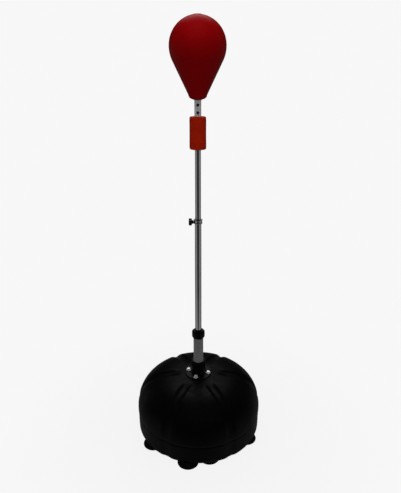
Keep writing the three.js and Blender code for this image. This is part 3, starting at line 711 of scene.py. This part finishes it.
def build_spring_cup():
    foot = low("lower_spring_cup").z
    wall = radius_of("lower_spring_cup") - CUP_FOOT_SPREAD
    outline = [
        (SPRING_BORE, foot),
        (wall + 4 * MM, foot),
        (wall + 3.4 * MM, foot + 1.8 * MM),
        (wall + 1.2 * MM, foot + 3.6 * MM),
        (wall, foot + 6 * MM),
        (wall, CUP_TOP - CUP_RIM_BEVEL),
        (wall - CUP_RIM_BEVEL, CUP_TOP),
        (SPRING_BORE + CUP_BORE_BEVEL, CUP_TOP),
        (SPRING_BORE, CUP_TOP - CUP_BORE_BEVEL),
    ]
    shape = {"closed": True, "fillet": 1.0 * MM, "sides": 128}
    turned("spring_cup", outline, COATED, "base", ["lower_spring_cup"], **shape)


def build_washer(number, centre):
    node = f"flange_washer_{number}"
    foot, top = ends_of(node)
    rim = radius_of(node)
    outline = [(WASHER_BORE, foot), (rim, foot), (rim, top), (WASHER_BORE, top)]
    shape = {"sides": 64, "closed": True, "fillet": 0.3 * MM, "centre": centre}
    turned(f"washer_{number}", outline, ZINC, "base", [node], **shape)


def hexagon_reach(turn):
    """How far a hexagon's side is from its axis at this turn, against its flats."""
    wedge = (turn % (TAU / 6)) - TAU / 12
    return min(1 / math.cos(wedge), HEAD_CORNER)


def build_bolt(number, centre):
    node = f"flange_bolt_{number}"
    foot, top = ends_of(node)
    seat = high(f"flange_washer_{number}").z + BOLT_LIFT
    levels = [  # (radius, height, how far towards a hexagon)
        (0, foot, 0),
        (BOLT_RADIUS - BOLT_TIP_BEVEL, foot, 0),
        (BOLT_RADIUS, foot + BOLT_TIP_BEVEL, 0),
        (BOLT_RADIUS, seat, 0),
        (HEAD_COLLAR, seat, 0),
        (HEAD_COLLAR, seat + 0.4 * MM, 0),
        (HEAD_FLAT, seat + 0.45 * MM, 1),
        (HEAD_FLAT, top - 0.7 * MM, 1),
        (HEAD_FLAT * 0.94, top - 0.05 * MM, 0.35),
        (HEAD_FLAT * 0.9, top, 0),
        (HEAD_FLAT * 0.5, top, 0),
        (0, top, 0),
    ]
    rows = []
    for radius, height, hexed in levels:
        row = []
        for x, y, z in ring(radius, height, BOLT_SIDES):
            grow = 1 + hexed * (hexagon_reach(math.atan2(y, x)) - 1)
            row.append((centre[0] + x * grow, centre[1] + y * grow, z))
        rows.append(row)
    verts, faces = grid(rows)
    make_piece(f"bolt_{number}", verts, faces, ZINC, "base", [node], sharp=24)


def build_bolts():
    for number in range(1, BOLT_COUNT + 1):
        centre = centre_of(f"flange_bolt_{number}")
        build_washer(number, centre)
        build_bolt(number, centre)


# ---- Spring ----
WIRE_RADIUS = 2.6 * MM
WIRE_SIDES = 12
SPRING_TURNS = 30
STEPS_PER_TURN = 40


def coil(name, start, end, body, nodes=()):
    """The stretch of the spring between two fractions of its length."""
    spring_low, spring_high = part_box("coil_spring")
    radius = spring_high.x - WIRE_RADIUS
    steps = int(SPRING_TURNS * STEPS_PER_TURN * (end - start))
    climb = spring_high.z - spring_low.z - 2 * WIRE_RADIUS
    rise = climb / (SPRING_TURNS * TAU)
    section = [(math.cos(TAU * k / WIRE_SIDES), math.sin(TAU * k / WIRE_SIDES)) for k in range(WIRE_SIDES)]
    rows, centres = [], []
    for i in range(steps + 1):
        t = start + (end - start) * i / steps
        cos, sin = math.cos(t * SPRING_TURNS * TAU), math.sin(t * SPRING_TURNS * TAU)
        centre = Vector((radius * cos, radius * sin, spring_low.z + WIRE_RADIUS + climb * t))
        along = Vector((-radius * sin, radius * cos, rise)).normalized()
        out = Vector((cos, sin, 0))
        up = out.cross(along)
        rows.append([tuple(centre + out * WIRE_RADIUS * x + up * WIRE_RADIUS * y) for x, y in section])
        centres.append([tuple(centre)])
    verts, faces = grid([centres[0], *rows, centres[-1]])
    return make_piece(name, verts, faces, SPRING, body, nodes, slot="spring_steel", ride=False)


def build_spring():
    spring_low, spring_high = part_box("coil_spring")
    middle = (LEAN_HEIGHT - spring_low.z) / (spring_high.z - spring_low.z)
    lower = coil("spring_lower", 0, middle, "base", ["coil_spring"])
    upper = coil("spring_upper", middle, 1, "lower_pole")
    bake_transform(lower)
    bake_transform(upper)


# ---- Spring cap, pole and collar ----
CAP_ROOF = 5 * MM
CAP_MOUTH_BEVEL = 0.8 * MM
CAP_FOOT_BEVEL, CAP_FOOT_RISE = 3 * MM, 5 * MM
CAP_TOP_BEVEL = 5.5 * MM
UPPER_TUBE_WALL = 1 * MM
COLLAR_LIP = 1.6 * MM
COLLAR_BEVEL = 1.2 * MM
COLLAR_BAND = 3.4 * MM  # height of the raised band at each end
COLLAR_WAIST = 0.8 * MM  # how far the collar is turned down between its bands


def build_spring_cap():
    rim = radius_of("spring_cap")
    hole = LOWER_TUBE_RADIUS + SEAT_GAP
    roof = CAP_TOP - CAP_ROOF
    outline = [
        (SPRING_BORE, CAP_FOOT + CAP_MOUTH_BEVEL),
        (SPRING_BORE + CAP_MOUTH_BEVEL, CAP_FOOT),
        (rim - CAP_FOOT_BEVEL, CAP_FOOT),
        (rim, CAP_FOOT + CAP_FOOT_RISE),
        (rim, CAP_TOP - CAP_TOP_BEVEL),
        (rim - CAP_TOP_BEVEL, CAP_TOP),
        (hole, CAP_TOP),
        (hole, roof),
        (SPRING_BORE, roof),
    ]
    shape = {"closed": True, "fillet": 1.2 * MM, "sides": 128}
    turned("spring_cap_shell", outline, COATED, "lower_pole", ["spring_cap"], **shape)


def build_tubes():
    foot, top = ends_of("lower_tube")
    bore = UPPER_TUBE_RADIUS + SEAT_GAP
    tube("pole_lower", bore, LOWER_TUBE_RADIUS, foot, top, CHROME, "lower_pole", ["lower_tube"])
    foot, top = ends_of("upper_tube")
    bore = UPPER_TUBE_RADIUS - UPPER_TUBE_WALL
    tube("pole_upper", bore, UPPER_TUBE_RADIUS, foot, top, CHROME, "upper_pole", ["upper_tube"])


def build_collar():
    rim = radius_of("clamp_collar")
    waist = rim - COLLAR_WAIST
    step = COLLAR_BAND + COLLAR_WAIST
    lower, upper = LOWER_TUBE_RADIUS + SEAT_GAP, UPPER_TUBE_RADIUS + SEAT_GAP
    lip = COLLAR_TOP - COLLAR_LIP
    outline = [
        (lower, COLLAR_FOOT),
        (rim - COLLAR_BEVEL, COLLAR_FOOT),
        (rim, COLLAR_FOOT + COLLAR_BEVEL),
        (rim, COLLAR_FOOT + COLLAR_BAND),
        (waist, COLLAR_FOOT + step),
        (waist, COLLAR_TOP - step),
        (rim, COLLAR_TOP - COLLAR_BAND),
        (rim, COLLAR_TOP - COLLAR_BEVEL),
        (rim - COLLAR_BEVEL, COLLAR_TOP),
        (upper, COLLAR_TOP),
        (upper, lip),
        (lower, lip),
    ]
    shape = {"closed": True, "fillet": 0.5 * MM, "sides": 128}
    turned("collar_ring", outline, COLLAR, "lower_pole", ["clamp_collar"], **shape)


# ---- Clamp knob ----
KNOB_SIDES = 180
KNOB_LOBES = 6
KNOB_SWELL = 1.1 * MM  # half the depth between two lobes
KNOB_SWELL_SHIFT = 0.1
KNOB_HUB_RADIUS, KNOB_HUB_HEIGHT, KNOB_HUB_BEVEL = 7 * MM, 5 * MM, 0.6 * MM
KNOB_DISH = 0.9 * MM  # depth of the dish in the outer face


def build_knob():
    """Star knob about the stud's axis, hub towards the collar."""
    corner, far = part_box("clamp_knob")
    axis_height = (corner.z + far.z) / 2
    width = far.x - corner.x
    reach = (far.z - corner.z) / 2
    hub = KNOB_HUB_HEIGHT
    levels = [  # (radius, distance from the collar's side, how far towards a star)
        (0, 0, 0),
        (KNOB_HUB_RADIUS - KNOB_HUB_BEVEL, 0, 0),
        (KNOB_HUB_RADIUS, KNOB_HUB_BEVEL, 0),
        (KNOB_HUB_RADIUS, hub - KNOB_HUB_BEVEL, 0),
        (reach - 3.4 * MM, hub, 0.6),
        (reach - 1.6 * MM, hub + 0.9 * MM, 0.95),
        (reach - 1.0 * MM, hub + 2.4 * MM, 1),
        (reach - 1.0 * MM, width - 2.6 * MM, 1),
        (reach - 1.5 * MM, width - 1.1 * MM, 0.95),
        (reach - 3.2 * MM, width - 0.2 * MM, 0.7),
        (reach * 0.55, width - 0.2 * MM, 0.1),
        (reach * 0.5, width - KNOB_DISH, 0),
        (reach * 0.2, width - KNOB_DISH, 0),
        (0, width - KNOB_DISH, 0),
    ]
    rows = []
    for radius, out, lobed in levels:
        row = []
        for k in range(KNOB_SIDES if radius else 1):
            turn = TAU * k / KNOB_SIDES
            swell = radius + lobed * KNOB_SWELL * (math.cos(KNOB_LOBES * turn) - KNOB_SWELL_SHIFT)
            row.append((far.x - out, swell * math.sin(turn), axis_height + swell * math.cos(turn)))
        rows.append(row)
    verts, faces = grid(rows)
    make_piece("star_knob", verts, faces, PLASTIC, "clamp_knob", ["clamp_knob"], sharp=38)


# ---- Foam sleeve ----
SLEEVE_SIDES = 160
SLEEVE_PITCH = 2 * MM  # between two rings of points
SLEEVE_ROUND = 6 * MM
SLEEVE_GIVE = 0.5 * MM  # unevenness of the foam
SLEEVE_SINK = 0.4 * MM  # keeps the uneven outside within its size
SLEEVE_SEAM, SLEEVE_SEAM_ANGLE = 0.9 * MM, 0.03
NOISE_ACROSS, NOISE_UP = 38, 22  # waves per metre


def densified(outline, pitch):
    """The closed outline with points added wherever two are further apart than the pitch."""
    dense = []
    for first, second in zip(outline, outline[1:] + outline[:1]):
        span = (Vector(second) - Vector(first)).length
        pieces = max(1, int(span / pitch))
        for i in range(pieces):
            t = i / pieces
            dense.append((first[0] + (second[0] - first[0]) * t, first[1] + (second[1] - first[1]) * t))
    return dense


def build_sleeve():
    foot, top = ends_of("foam_sleeve")
    outer = radius_of("foam_sleeve")
    inner = UPPER_TUBE_RADIUS + SEAT_GAP
    end = [  # (radius, distance from the sleeve's end)
        (inner, 2 * MM),
        (inner + 2 * MM, 0.5 * MM),
        (outer - 8 * MM, 0),
        (outer - 0.6 * MM, 1 * MM),
        (outer, 12 * MM),
    ]
    outline = [(radius, foot + rise) for radius, rise in end]
    outline.append((outer, (foot + top) / 2))
    outline += [(radius, top - drop) for radius, drop in reversed(end)]
    rows = []
    for radius, height in densified(rounded(outline, SLEEVE_ROUND, steps=8, closed=True), SLEEVE_PITCH):
        row = []
        for x, y, z in ring(radius, height, SLEEVE_SIDES):
            give = noise.noise(Vector((x * NOISE_ACROSS, y * NOISE_ACROSS, z * NOISE_UP))) * SLEEVE_GIVE
            give -= SLEEVE_SINK if radius > outer - 1.5 * MM else 0
            seam = math.exp(-((math.atan2(x, y) / SLEEVE_SEAM_ANGLE) ** 2)) * SLEEVE_SEAM
            factor = 1 + (give - seam) / radius if radius > inner + 3 * MM else 1
            row.append((x * factor, y * factor, z))
        rows.append(row)
    verts, faces = grid(rows, closed_rows=True)
    sleeve = make_piece("grip_sleeve", verts, faces, FOAM, "upper_pole", ["foam_sleeve"], sharp=60)


# ---- Stem ----
SCREW_COUNT = 2
SCREW_SHANK = 2.4 * MM
SCREW_TIP = 8 * MM  # from the pole's axis
SCREW_LIFT = 0.1 * MM  # head above the stem


def build_stem():
    foot, top = ends_of("bag_stem")
    bore = UPPER_TUBE_RADIUS + SEAT_GAP
    tube("stem_tube", bore, STEM_RADIUS, foot, top, STEM_CHROME_PAINTED_BRIGHT, "upper_pole", ["bag_stem"])


def build_screws():
    """Dished screws through the front of the stem, turned upright and then laid forward."""
    for number in range(1, SCREW_COUNT + 1):
        node = f"stem_screw_{number}"
        corner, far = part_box(node)
        head = (far.z - corner.z) / 2
        front = -corner.y
        seat = STEM_RADIUS + SCREW_LIFT
        outline = [
            (0, SCREW_TIP),
            (SCREW_SHANK, SCREW_TIP),
            (SCREW_SHANK, seat),
            (head, seat),
            (head, seat + 0.8 * MM),
            (head - 1.1 * MM, front - 0.2 * MM),
            (1.9 * MM, front),
            (1.6 * MM, front - 1.4 * MM),
            (0, front - 1.6 * MM),
        ]
        shape = {"sides": 48, "fillet": 0.25 * MM}
        screw = turned(f"screw_{number}", outline, SCREW, "upper_pole", [node], **shape)
        height = (corner.z + far.z) / 2
        screw.data.transform(Matrix.Translation((0, 0, height)) @ Matrix.Rotation(math.pi / 2, 4, "X"))
        screw.data.update()


# ---- Bag ----
BAG_SIDES = 360
BAG_STEPS = 150
BAG_CROWN = 104.7 * MM  # from the widest level to the top
BAG_WIDEST = BAG_TOP - BAG_CROWN
BAG_SHOULDER = 119.5 * MM  # radius of the arc that leads into the cone
BAG_NECK = 12 * MM  # height of the rounded neck below the cone
BAG_NECK_RADIUS = 33 * MM
BAG_NECK_TURN = 6 * MM  # radius at the corner between neck and cone
BAG_MOUTH = STEM_RADIUS + 0.4 * MM
MOUTH_RIM = 1.5 * MM
MOUTH_LINING = (18 * MM, 2 * MM)  # heights of the turned-in leather above the bag's foot
NECK_SAG = 3 * MM  # how far the leather hangs below the neck
NECK_STEPS, SHOULDER_STEPS, CROWN_STEPS = 8, 24, 60
BAG_PANELS = 4
PANEL_CROWN = 0.8 * MM
PANEL_FADE = (12 * MM, 40 * MM)  # radii between which the panels take shape
SEAM_WIDTH = 2.2 * MM
SEAM_DEPTH = 0.6 * MM
SEAM_FADE = (6 * MM, 30 * MM)


def cone_angle():
    """How far round the shoulder's arc the cone touches it, on its way from the neck."""
    run = BAG_NECK_RADIUS - (BAG_RADIUS - BAG_SHOULDER)
    rise = BAG_WIDEST - (BAG_FOOT + BAG_NECK)
    return math.atan2(rise, run) - math.acos(BAG_SHOULDER / math.hypot(run, rise))


def evenly_spaced(points, steps):
    lengths = [0.0]
    for first, second in zip(points, points[1:]):
        lengths.append(lengths[-1] + math.dist(first, second))
    even = []
    place = 0
    for i in range(steps + 1):
        target = lengths[-1] * i / steps
        while place < len(points) - 2 and lengths[place + 1] < target:
            place += 1
        t = (target - lengths[place]) / (lengths[place + 1] - lengths[place])
        even.append(tuple(Vector(points[place]).lerp(Vector(points[place + 1]), min(t, 1))))
    return even


def pear_outline():
    """(radius, height) points of the bag's outside, evenly spaced from its neck to its crown."""
    foot = BAG_FOOT - NECK_SAG
    start = BAG_MOUTH + MOUTH_RIM
    neck = [(BAG_MOUTH, foot), (start, foot)]
    for i in range(1, NECK_STEPS + 1):
        turn = (math.pi / 2) * i / NECK_STEPS
        reach = (BAG_NECK_RADIUS - start) * math.sin(turn)
        neck.append((start + reach, BAG_FOOT + BAG_NECK - (BAG_NECK + NECK_SAG) * math.cos(turn)))
    cone = cone_angle()
    shoulder = []
    for i in range(SHOULDER_STEPS + 1):
        angle = -cone * (1 - i / SHOULDER_STEPS)
        reach = BAG_SHOULDER * math.cos(angle)
        shoulder.append((BAG_RADIUS - BAG_SHOULDER + reach, BAG_WIDEST + BAG_SHOULDER * math.sin(angle)))
    points = rounded([*neck, shoulder[0]], BAG_NECK_TURN) + shoulder[1:]
    for i in range(1, CROWN_STEPS + 1):
        angle = (math.pi / 2) * i / CROWN_STEPS
        points.append((BAG_RADIUS * math.cos(angle), BAG_WIDEST + BAG_CROWN * math.sin(angle)))
    return evenly_spaced(points, BAG_STEPS)


def bag_point(radius, height, angle):
    """A point on the sewn cover, with each panel crowned between its two seams."""
    sector = TAU / BAG_PANELS
    offset = (angle / sector + 0.5) % 1 - 0.5
    to_seam = (0.5 - abs(offset)) * sector * radius
    crown = PANEL_CROWN * (math.cos(math.pi * offset) - 1) * smoothstep(radius, *PANEL_FADE)
    dip = SEAM_DEPTH * math.exp(-((to_seam / SEAM_WIDTH) ** 2)) * smoothstep(radius, *SEAM_FADE)
    reach = radius + crown - dip
    return (reach * math.sin(angle), -reach * math.cos(angle), height)


def build_bag(outline):
    turns = [TAU * k / BAG_SIDES for k in range(BAG_SIDES)]
    rows = [ring(BAG_MOUTH, BAG_FOOT + rise, BAG_SIDES) for rise in MOUTH_LINING]
    rows += [[bag_point(radius, height, turn) for turn in turns] for radius, height in outline[:-1]]
    rows.append([(0, 0, outline[-1][1])])
    verts, faces = grid(rows)
    bag = make_piece("bag_skin", verts, faces, LEATHER, "upper_pole", ["bag_cover"], sharp=60)


# ---- Stitches ----
STITCH_PITCH = 5.0 * MM
STITCH_LENGTH, STITCH_WIDTH, STITCH_HEIGHT = 1.6 * MM, 0.4 * MM, 0.35 * MM  # half, half and whole
STITCH_ROOT = 0.2 * MM  # below the leather
STITCH_OFFSET = 4.2 * MM  # from the seam
STITCH_START = 18 * MM  # smallest radius of the bag that is stitched
STITCH_STOPS = (-1, -0.5, 0, 0.5, 1)
STITCH_TIP = 0.04  # keeps the ends of a stitch open


def add_stitch(verts, faces, spot, lengthways, sideways, outward):
    """A short lozenge with a ridge along it."""
    start = len(verts)
    for stop in STITCH_STOPS:
        swell = math.sqrt(max(1 - stop * stop, STITCH_TIP))
        middle = spot + lengthways * STITCH_LENGTH * stop
        verts.append(middle - sideways * STITCH_WIDTH * swell - outward * STITCH_ROOT)
        verts.append(middle + outward * STITCH_HEIGHT * swell)
        verts.append(middle + sideways * STITCH_WIDTH * swell - outward * STITCH_ROOT)
    for a in range(start, len(verts) - 3, 3):
        faces.append((a, a + 1, a + 4, a + 3))
        faces.append((a + 1, a + 2, a + 5, a + 4))
        faces.append((a + 2, a, a + 3, a + 5))
    last = len(verts) - 3
    faces.append((start, start + 2, start + 1))
    faces.append((last, last + 1, last + 2))


def build_stitches(outline):
    """Two rows of stitches beside every seam, which lie on the cover."""
    verts, faces = [], []
    run = 0.0
    for (r0, z0), (r1, z1) in zip(outline, outline[1:]):
        run += math.dist((r0, z0), (r1, z1))
        if run < STITCH_PITCH or r0 < STITCH_START:
            continue
        run = 0.0
        along = Vector((r1 - r0, z1 - z0)).normalized()
        for panel in range(BAG_PANELS):
            for side in (-1, 1):
                angle = TAU * (panel + 0.5) / BAG_PANELS + side * STITCH_OFFSET / r0
                out_flat = Vector((math.sin(angle), -math.cos(angle), 0))
                lengthways = out_flat * along.x + Vector((0, 0, along.y))
                sideways = Vector((math.cos(angle), math.sin(angle), 0))
                outward = lengthways.cross(sideways)
                if outward.dot(out_flat) + outward.z * (z0 - BAG_WIDEST) < 0:
                    outward = -outward
                add_stitch(verts, faces, Vector(bag_point(r0, z0, angle)), lengthways, sideways, outward)
    make_piece("bag_stitches", verts, faces, THREAD, "upper_pole", slot="red_leather", sharp=80)


# ---- Bag trim ----
NECK_RING_GAP = 0.2 * MM
PATCH_BORE, PATCH_RADIUS = 4.3 * MM, 15 * MM
PATCH_TUCK = 0.4 * MM  # how much wider the patch is underneath
PATCH_RISE, PATCH_ROOT = 0.9 * MM, 0.6 * MM


def build_neck_ring():
    """The welted ring round the bag's mouth."""
    foot = BAG_FOOT - NECK_SAG
    inner = STEM_RADIUS + NECK_RING_GAP
    outline = [
        (inner, foot - 1.2 * MM),
        (STEM_RADIUS + 3.6 * MM, foot - 1.4 * MM),
        (STEM_RADIUS + 5.0 * MM, foot + 0.4 * MM),
        (STEM_RADIUS + 3.8 * MM, foot + 2 * MM),
        (inner, foot + 2 * MM),
    ]
    shape = {"closed": True, "fillet": 0.9 * MM}
    turned("bag_neck_ring", outline, LEATHER, "upper_pole", slot="red_leather", **shape)


def build_crown_patch(outline):
    """The round patch on the bag's crown, laid on the top of the bag's outline."""
    base = PATCH_RADIUS + PATCH_TUCK
    laid = [point for point in outline if PATCH_BORE < point[0] < base]
    under = [(radius, height - PATCH_ROOT) for radius, height in laid]
    over = [(radius, height + PATCH_RISE) for radius, height in laid if radius < PATCH_RADIUS]
    shape = {"closed": True, "fillet": 0.2 * MM}
    turned("bag_crown_patch", under + over[::-1], LEATHER, "upper_pole", slot="red_leather", **shape)


# ---- Everything ----
def finish_cad_nodes():
    """Gives every CAD node that stays in sight its own node material."""
    for node, slot in SLOT_OF.items():
        obj = bpy.data.objects.get(node)
        if obj is None:
            continue
        for place in obj.material_slots:
            place.material = BY_SLOT[slot]


def build_object():
    """Every piece of the object, from the floor up."""
    finish_cad_nodes()
    build_tank()
    build_cups()
    build_filler_lid()
    build_filler_grip()
    build_flange()
    build_spring_cup()
    build_bolts()
    build_spring()
    build_spring_cap()
    build_tubes()
    build_collar()
    build_knob()
    build_sleeve()
    build_stem()
    build_screws()
    outline = pear_outline()
    build_bag(outline)
    build_stitches(outline)
    build_neck_ring()
    build_crown_patch(outline)


# ---- Studio ----
PALE = 0.931
AMBIENT = 0.14
# (place from one end of an axis to the other, level)
FLOOR_GLOW = [(0.0, 0.03), (0.1, 0.05), (0.2, 0.32), (0.36, 0.36)]
FLOOR_GLOW += [(0.5, 0.18), (0.7, 0.16), (1.0, 0.16)]
ROOM_SHARE = [(0.0, 1.0), (0.46, 1.0), (0.53, 0.08), (1.0, 0.03)]


def build_world():
    """Pale to the camera. Reflections see a floor that is dark near the camera, and a dim room."""
    world = bpy.data.worlds.new("studio")
    bpy.context.scene.world = world
    world.use_nodes = True
    world.node_tree.nodes.clear()
    nodes = Nodes(world.node_tree)

    def along(axis, stops):
        reach = nodes.node("ShaderNodeMapRange", From_Min=-1)
        nodes.link(axis, reach.inputs["Value"])
        return nodes.ramp(reach.outputs["Result"], *((place, (level,) * 3) for place, level in stops))

    def background(level=1.0, colour=None):
        made = nodes.node("ShaderNodeBackground", Color=(level, level, level, 1))
        if colour:
            nodes.link(colour, made.inputs["Color"])
        return made.outputs["Background"]

    split = nodes.node("ShaderNodeSeparateXYZ")
    nodes.link(nodes.node("ShaderNodeTexCoord").outputs["Generated"], split.inputs["Vector"])
    floor_glow = along(split.outputs["Y"], FLOOR_GLOW)
    room_share = along(split.outputs["Z"], ROOM_SHARE)
    reflected = background(colour=nodes.mix("MULTIPLY", 1, floor_glow, room_share))
    rays = nodes.node("ShaderNodeLightPath").outputs
    lit = nodes.choose(rays["Is Glossy Ray"], background(AMBIENT), reflected)
    shown = nodes.choose(rays["Is Camera Ray"], lit, background(PALE))
    nodes.link(shown, nodes.node("ShaderNodeOutputWorld").inputs["Surface"])


FLOOR_RADII = (0, 0.6, 1.6, 14)
FLOOR_DROP = 0.4 * MM
FLOOR_GREY = 0.85
SHADOW_SHARE = 0.06
SHADOW_FULL, SHADOW_END = 0.25, 0.8  # distances from the pole


def build_floor():
    """A pale floor that fades into the background, with a faint shadow under the base."""
    verts, faces = grid([ring(radius, 0, 96) for radius in FLOOR_RADII])
    mesh = bpy.data.meshes.new("floor")
    mesh.from_pydata(verts, [], faces)
    floor = bpy.data.objects.new("floor", mesh)
    bpy.context.scene.collection.objects.link(floor)
    floor.location.z = -FLOOR_DROP
    material = bpy.data.materials.new("floor")
    material.use_nodes = True
    material.node_tree.nodes.clear()
    nodes = Nodes(material.node_tree)
    glow = nodes.node("ShaderNodeEmission", Color=(PALE, PALE, PALE, 1))
    matt = nodes.node("ShaderNodeBsdfDiffuse", Color=(FLOOR_GREY, FLOOR_GREY, FLOOR_GREY, 1))
    reach = nodes.node("ShaderNodeVectorMath", operation="LENGTH")
    nodes.link(nodes.node("ShaderNodeTexCoord").outputs["Object"], reach.inputs[0])
    limits = {"From_Min": SHADOW_FULL, "From_Max": SHADOW_END, "To_Min": SHADOW_SHARE, "To_Max": 0}
    fade = nodes.node("ShaderNodeMapRange", **limits)
    nodes.link(reach.outputs["Value"], fade.inputs["Value"])
    shown = nodes.choose(fade.outputs["Result"], glow.outputs["Emission"], matt.outputs["BSDF"])
    nodes.link(shown, nodes.node("ShaderNodeOutputMaterial").inputs["Surface"])
    mesh.materials.append(material)
    floor.visible_glossy = False
    floor.visible_diffuse = False


def add_softbox(name, place, target, width, height, watts, glossy=True):
    data = bpy.data.lights.new(name, "AREA")
    data.shape = "RECTANGLE"
    data.size, data.size_y = width, height
    data.energy = watts
    lamp = bpy.data.objects.new(name, data)
    lamp.location = place
    lamp.rotation_euler = (Vector(target) - Vector(place)).to_track_quat("-Z", "Y").to_euler()
    lamp.visible_camera = False
    lamp.visible_glossy = glossy
    bpy.context.scene.collection.objects.link(lamp)


def build_lights():
    add_softbox("top", (0, -0.7, 3.6), (0, 0, 1.4), 1.8, 1.8, 24, glossy=False)
    add_softbox("front_fill", (0, -2.6, 2.3), (0, 0, 1.2), 2.2, 1.4, 13, glossy=False)
    add_softbox("back_top", (0, 2.4, 3.8), (0, 0, 1.4), 2.2, 1.4, 34)
    add_softbox("bolt_glint", (0, 2.5, 1.95), (0, 0, 0.24), 0.9, 0.5, 2.2)
    add_softbox("left_edge", (-2.4, 1.3, 0.7), (0, 0, 0.4), 0.6, 1.6, 1.2)
    add_softbox("right_edge", (2.4, 1.3, 0.7), (0, 0, 0.4), 0.6, 1.6, 0.5)


CAMERA_DISTANCE = 1.786
CAMERA_HEIGHT = 1.4555
CAMERA_PITCH = 13.6
CAMERA_ROLL = math.radians(-0.14)
CAMERA_LENS = 36.51
CAMERA_SHIFT = (0.0051, -0.13)
CAMERA_REACH = 60


def build_camera():
    data = bpy.data.cameras.new("camera")
    data.lens = CAMERA_LENS
    data.shift_x, data.shift_y = CAMERA_SHIFT
    data.clip_end = CAMERA_REACH
    camera = bpy.data.objects.new("camera", data)
    camera.location = (0, -CAMERA_DISTANCE, CAMERA_HEIGHT)
    pitch = Matrix.Rotation(math.radians(90 - CAMERA_PITCH), 3, "X")
    roll = Matrix.Rotation(CAMERA_ROLL, 3, "Z")
    camera.rotation_euler = (pitch @ roll).to_euler()
    bpy.context.scene.collection.objects.link(camera)
    bpy.context.scene.camera = camera


build_camera()
build_world()
build_floor()
build_lights()
build_object()
bpy.context.scene.view_settings.view_transform = "Standard"
